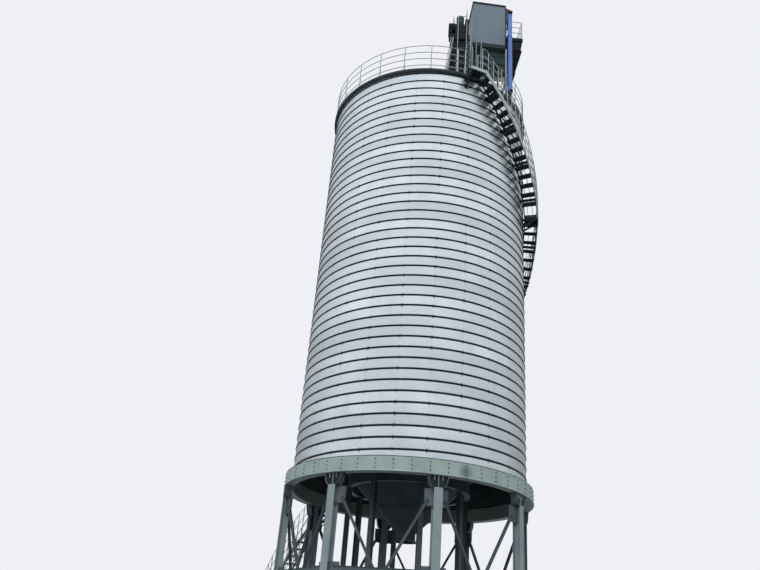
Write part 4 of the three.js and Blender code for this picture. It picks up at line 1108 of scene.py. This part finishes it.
rail = [pole(x, y, DECK + 0.0005, DECK + 0.935, 0.0165) for x, y in corners]
for first, last in ((0, 1), (1, 3), (3, 4)):
    for row in (0.310, 0.620, 0.930):
        rail.append(rod((*corners[first], DECK + row), (*corners[last], DECK + row), 0.014))
fit(move(finish(weld(*rail), TUBE), HEAD), "deck_rail", ["head_deck_rail"])

# %% [markdown]
# ## Conveyor head, its stand and the riser pipe
# Beside the house a bucket conveyor's head sits in a stand: two trunks come up through the roof
# to a casing with a gearbox at its side and an upright drive motor on top. The casing is bolted
# together from pressed halves, so it gets flanges, bolts and doors. The stand's left posts are
# narrow ladder-like trusses that lean in under the casing, its right posts run past it and carry
# a rail, and a ladder of cables climbs beside the right trunk. The riser is flanged tube, clamped
# to the deck.

# %% Stand of rolled posts, ladder posts, angle beams and a top rail
ANGLE = [(-0.025, -0.025), (0.025, -0.025), (0.025, 0.025), (0.019, 0.025), (0.019, -0.019),
         (-0.025, -0.019)]
STAND_Y, STAND_X, STAND_TOP = (-3.330, -2.600), (0.960, 1.310), 24.570


def lean(z):
    """The left posts lean in towards the casing; this is where they are at a height."""
    return 0.600 + (z - 22.960) * 0.11


rows = []
# The front row is in the legs' paint and the back row in the darker bracing grey: painted shade
# behind the casing.
for y, paint in zip(STAND_Y, (LEG, BRACE_DARK_AND_SHADE)):
    base = roof_height(math.hypot(lean(22.5), y)) - 0.02
    stand = [section(wide_flange(0.045, 0.045, 0.006), (lean(base), y, base),
                     (lean(STAND_TOP), y, STAND_TOP), TO_VIEWER),
             rod((lean(base) - 0.085, y, base + 0.02), (lean(STAND_TOP) - 0.085, y, STAND_TOP),
                 0.014)]
    for z in [22.72 + 0.22 * n for n in range(9)]:
        stand.append(rod((lean(z) - 0.085, y, z), (lean(z), y, z), 0.010, 6))
    for x in STAND_X:
        base = roof_height(math.hypot(x, y)) - 0.02
        stand += [stud(wide_flange(0.030, 0.040, 0.004), x, y, base, 25.380),
                  slab(x, y, 0.06, 0.06, base + 0.01, base + 0.04)]
        if x > 1 or y < -3:
            stand += [pole(x, y, 25.370, 26.175 if x > 1 else 25.790, 0.012),
                      slab(x, y, 0.03, 0.03, 25.380, 25.390)]
    for z in (22.960, 23.350, 23.640, 24.020):
        left = STAND_X[0] if z > 24 else lean(z)
        stand.append(section(ANGLE, (left, y, z), (STAND_X[1], y, z)))
    if y < -3:
        stand.append(rod((STAND_X[0], y, 25.760), (STAND_X[1], y, 25.760), 0.010))
    rows.append(made(stand, paint))
ties = [section(wide_flange(0.060, 0.050, 0.006), (x, STAND_Y[0], 24.534),
                (x, STAND_Y[1], 24.534)) for x in STAND_X]
ties += [rod((STAND_X[1], STAND_Y[0], z), (STAND_X[1], STAND_Y[1], z), 0.010)
         for z in (25.760, 26.160)]
TRAY, TRAY_Y = (1.315, 1.485), -3.200
tray = [pole(x, TRAY_Y, roof_height(3.5), 24.900, 0.012) for x in TRAY]
for n in range(15):
    low, high = TRAY if n % 2 else TRAY[::-1]
    z = 22.60 + 0.15 * n
    tray.append(rod((low, TRAY_Y, z), (high, TRAY_Y, z + 0.15), 0.009, 6))
cables = [pole(x, TRAY_Y + 0.03, roof_height(3.5), 24.880, 0.013)
          for x in (1.335, 1.363, 1.390, 1.417, 1.445, 1.469)]
stand = weld(*rows, made(ties, LEG), finish(weld(*tray), TUBE), finish(weld(*cables), TRIM))
fit(stand, "machine_posts", ["machine_stand"])

# %% Casing, gearbox and trunks
CASE_FRONT, CASE_BACK, GEAR_AXIS = -3.235, -2.695, (0.700, 25.345)
boot = [(0.864, 24.572), (1.398, 24.572), (1.398, 25.698), (1.247, 25.698), (1.247, 25.422),
        (1.310, 25.422), (1.310, 25.302), (1.223, 25.302), (1.223, 25.3795), (0.887, 25.3795),
        (0.864, 25.340)]
flange = [(0.862, 24.570), (1.400, 24.570), (1.400, 24.640), (1.225, 24.640), (1.225, 25.3797),
          (0.862, 25.3797)]
gear_box = [(0.582, 25.200), (0.868, 25.200), (0.868, 25.470), (0.838, 25.498), (0.612, 25.498),
            (0.582, 25.470)]
plates = [(boot, CASE_FRONT, CASE_BACK), (oblong(0.885, 24.660, 1.202, 25.356), -3.266, -2.664),
          (oblong(0.930, 24.70, 1.160, 25.12), -3.274, -3.262), (gear_box, -3.190, -2.760)]
plates += [(flange, y, y + 0.008) for y in (-3.270, -3.243, -2.695, -2.668)]
casing = [upright_plate(*plate) for plate in plates]
for low, high in (((0.602, CASE_FRONT, 24.572), (0.866, -3.060, 24.868)),
                  ((1.262, -3.100, 22.80), (1.398, -2.800, 24.575)),
                  ((0.625, -3.262, 24.665), (0.845, CASE_FRONT, 24.845)),
                  ((1.262, -3.255, 25.440), (1.384, CASE_FRONT, 25.680)),
                  ((1.245, -3.250, 24.700), (1.380, CASE_FRONT, 25.240)),
                  ((0.582, -3.190, 24.862), (0.718, -3.010, 25.205))):
    casing.append(block(low, high))
for (x, z), front, back, radius, sides in ((GEAR_AXIS, -3.225, -2.720, 0.105, 20),
                                           (GEAR_AXIS, -3.240, -2.710, 0.045, 12),
                                           ((0.650, 25.020), -3.215, -3.000, 0.052, 16)):
    casing.append(rod((x, front, z), (x, back, z), radius, sides))
for z in [25.235 + 0.07 * k for k in range(4)]:
    casing.append(block((0.580, -3.17, z - 0.008), (0.600, -2.78, z + 0.008)))
casing += [pole(x, -3.12, 25.45, 26.00 - 5 * (x - 0.77), 0.010) for x in (0.770, 0.812)]
for x in (0.800, 1.135):
    low = roof_height(math.hypot(x, 2.965)) - 0.05
    casing.append(slab(x, -2.965, 0.118, 0.223, low, 24.575))
    for joint in (low + 0.08, 22.95, 23.42, 23.90, 24.54):
        casing += [slab(x, -2.965, 0.125, 0.230, z, z + 0.010) for z in (joint, joint + 0.012)]
holes = [(0.64 + 0.15 * k, -3.270, 24.60) for k in range(6)]
holes += [(x, -3.270, 24.72 + 0.10 * k) for x in (0.874, 1.213) for k in range(7)]
holes += [(x, -3.274, z) for x in (0.950, 1.140) for z in (24.73, 25.09)]
casing = weld(made(casing, MACHINE_DARK_AND_SHADE, 0.003), bolts(holes, 0.018, TO_VIEWER))
fit(casing, "conveyor_casing", ["conveyor_head"])

# %% Upright geared motor
MOTOR_X, MOTOR_Y = 1.055, -2.960
motor = [soften(slab(MOTOR_X, MOTOR_Y, 0.150, 0.145, 25.395, 25.540), 0.02),
         block((MOTOR_X - 0.07, MOTOR_Y - 0.159, 25.64), (MOTOR_X + 0.07, MOTOR_Y - 0.12, 25.80))]
for low, high, radius in ((25.3803, 25.400, 0.158), (25.530, 25.550, 0.159),
                          (25.550, 25.565, 0.152), (25.565, 25.880, 0.134),
                          (25.870, 25.985, 0.157), (25.985, 26.002, 0.145),
                          (26.006, 26.019, 0.159)):
    motor.append(pole(MOTOR_X, MOTOR_Y, low, high, radius, 24))
fin = block((-0.002, 0.128, 25.570), (0.002, 0.155, 25.868))
motor.append(repeat(fin, [Matrix.Translation((MOTOR_X, MOTOR_Y, 0)) @ turned_to(15 * k)
                          for k in range(24)]))
fit(made(motor, MOTOR), "geared_motor", ["drive_motor"])

# %% Riser pipe with flanges and clamp
x, y, _ = HEAD.inverted() @ Vector((3.130, -2.830, 0))
pipe = [pole(x, y, low, high, radius, 24) for low, high, radius in (
    (22.330, 26.440, 0.0838), (22.330, 22.352, 0.115), (25.170, 25.190, 0.096),
    (25.192, 25.212, 0.096), (26.405, 26.440, 0.090))]
pipe += [pole(x, y, z - 0.020, z + 0.020, 0.0865, 24) for z in (23.45, 25.612, 26.2)]
clamp = block((x - 0.050, y + 0.080, 25.582), (x + 0.050, -2.6203, 25.642))
pipe = finish(weld(soften(weld(*pipe), 0.002), soften(clamp, 0.002)), PIPE)
holes = [Vector((x, y, 22.352)) + spot(112.5 + 45 * k, 0.099, 0) for k in range(8)]
fit(move(weld(pipe, bolts(holes, 0.014, UP)), HEAD), "blue_riser", ["riser_pipe"])

# %% [markdown]
# ## Studio, lights and camera
# The silo stands on a plain pale floor under soft light: a bright ceiling that fades towards the
# horizon, as a cloudy sky does, and one large soft lamp above the camera. The ceiling is dimmer
# behind the silo and a little dimmer to its right, which shades the edges of the round wall. The
# metal would mirror the lamp as a hard spot, so the lamp doesn't show in reflections. The camera
# looks up from near the ground at the photograph's own angle.

# %% Floor
clear_bench()
bpy.ops.mesh.primitive_circle_add(vertices=96, radius=140, fill_type="NGON",
                                  location=(0, 0, -0.002))
floor = set_down(bpy.context.object)
floor.name = "studio_floor"
pale, shader, place = new_material("pale_studio_floor", 0.0, 0.9)
cloud = between(patches(place, 3.0), 0.3, 0.7)
wire(shader, {"Base Color": blend(cloud, colour("#d9dadb"), colour("#e2e3e4"))})
finish(floor, pale)
floor.visible_diffuse = False

# %% Ceiling light
world = bpy.data.worlds.new("soft_studio")
bpy.context.scene.world = world
world.use_nodes = True
tree = world.node_tree
tree.nodes.clear()
way = add("SeparateXYZ", None, {0: add("TexCoord", tree=tree).outputs["Generated"]}).outputs
height = between(way[2], -0.03, 0.30, 0.15, 1.33)
front = between(way[1], 0.95, -0.1, 0.32, 1.0)
right = between(way[0], 0.2, 0.85, 1.0, 0.86)
level = sums("MULTIPLY", sums("MULTIPLY", height, front), right)
glow = add("Background", None, {"Color": colour("#e9f0f4"), "Strength": level})
wall = add("Background", None, {"Color": colour("#eff0f4"), "Strength": 1.0}, tree)
seen = add("LightPath", tree=tree).outputs["Is Camera Ray"]
mixed = add("MixShader", None, {0: seen, 1: glow.outputs[0], 2: wall.outputs[0]})
add("OutputWorld", None, {"Surface": mixed.outputs[0]})

# %% Soft lamp
clear_bench()
bpy.ops.object.light_add(type="AREA", location=(-8, -38, 46))
lamp = bpy.context.object
lamp.data.shape = "DISK"
lamp.data.size = 34
lamp.data.energy = 9000
lamp.data.color = (0.93, 0.965, 1.0)
lamp.visible_glossy = False
lamp.rotation_euler = (Vector((0, 0, 14)) - lamp.location).to_track_quat("-Z", "Y").to_euler()

# %% Camera at the photograph's viewing angle
UP_TILT, ROLL, YAW = 0.4695, -0.0835, 0.0591
ct, st, cr, sr, cy, sy = (f(a) for a in (UP_TILT, ROLL, YAW) for f in (math.cos, math.sin))
forward = Vector((-ct * sy, ct * cy, st))
across = Vector((cr * cy - sr * st * sy, cr * sy + sr * st * cy, -sr * ct))
down = Vector((-sr * cy - cr * st * sy, -sr * sy + cr * st * cy, -cr * ct))
lens = bpy.data.cameras.new("camera")
lens.sensor_width, lens.lens, lens.clip_end = 36, 35.80, 500
camera = bpy.data.objects.new("camera", lens)
bpy.context.collection.objects.link(camera)
camera.matrix_world = (Matrix.Translation((0, -26.068, 1.6))
                       @ Matrix((across, -down, -forward)).transposed().to_4x4())
bpy.context.scene.camera = camera
bpy.context.scene.view_settings.view_transform = "Standard"
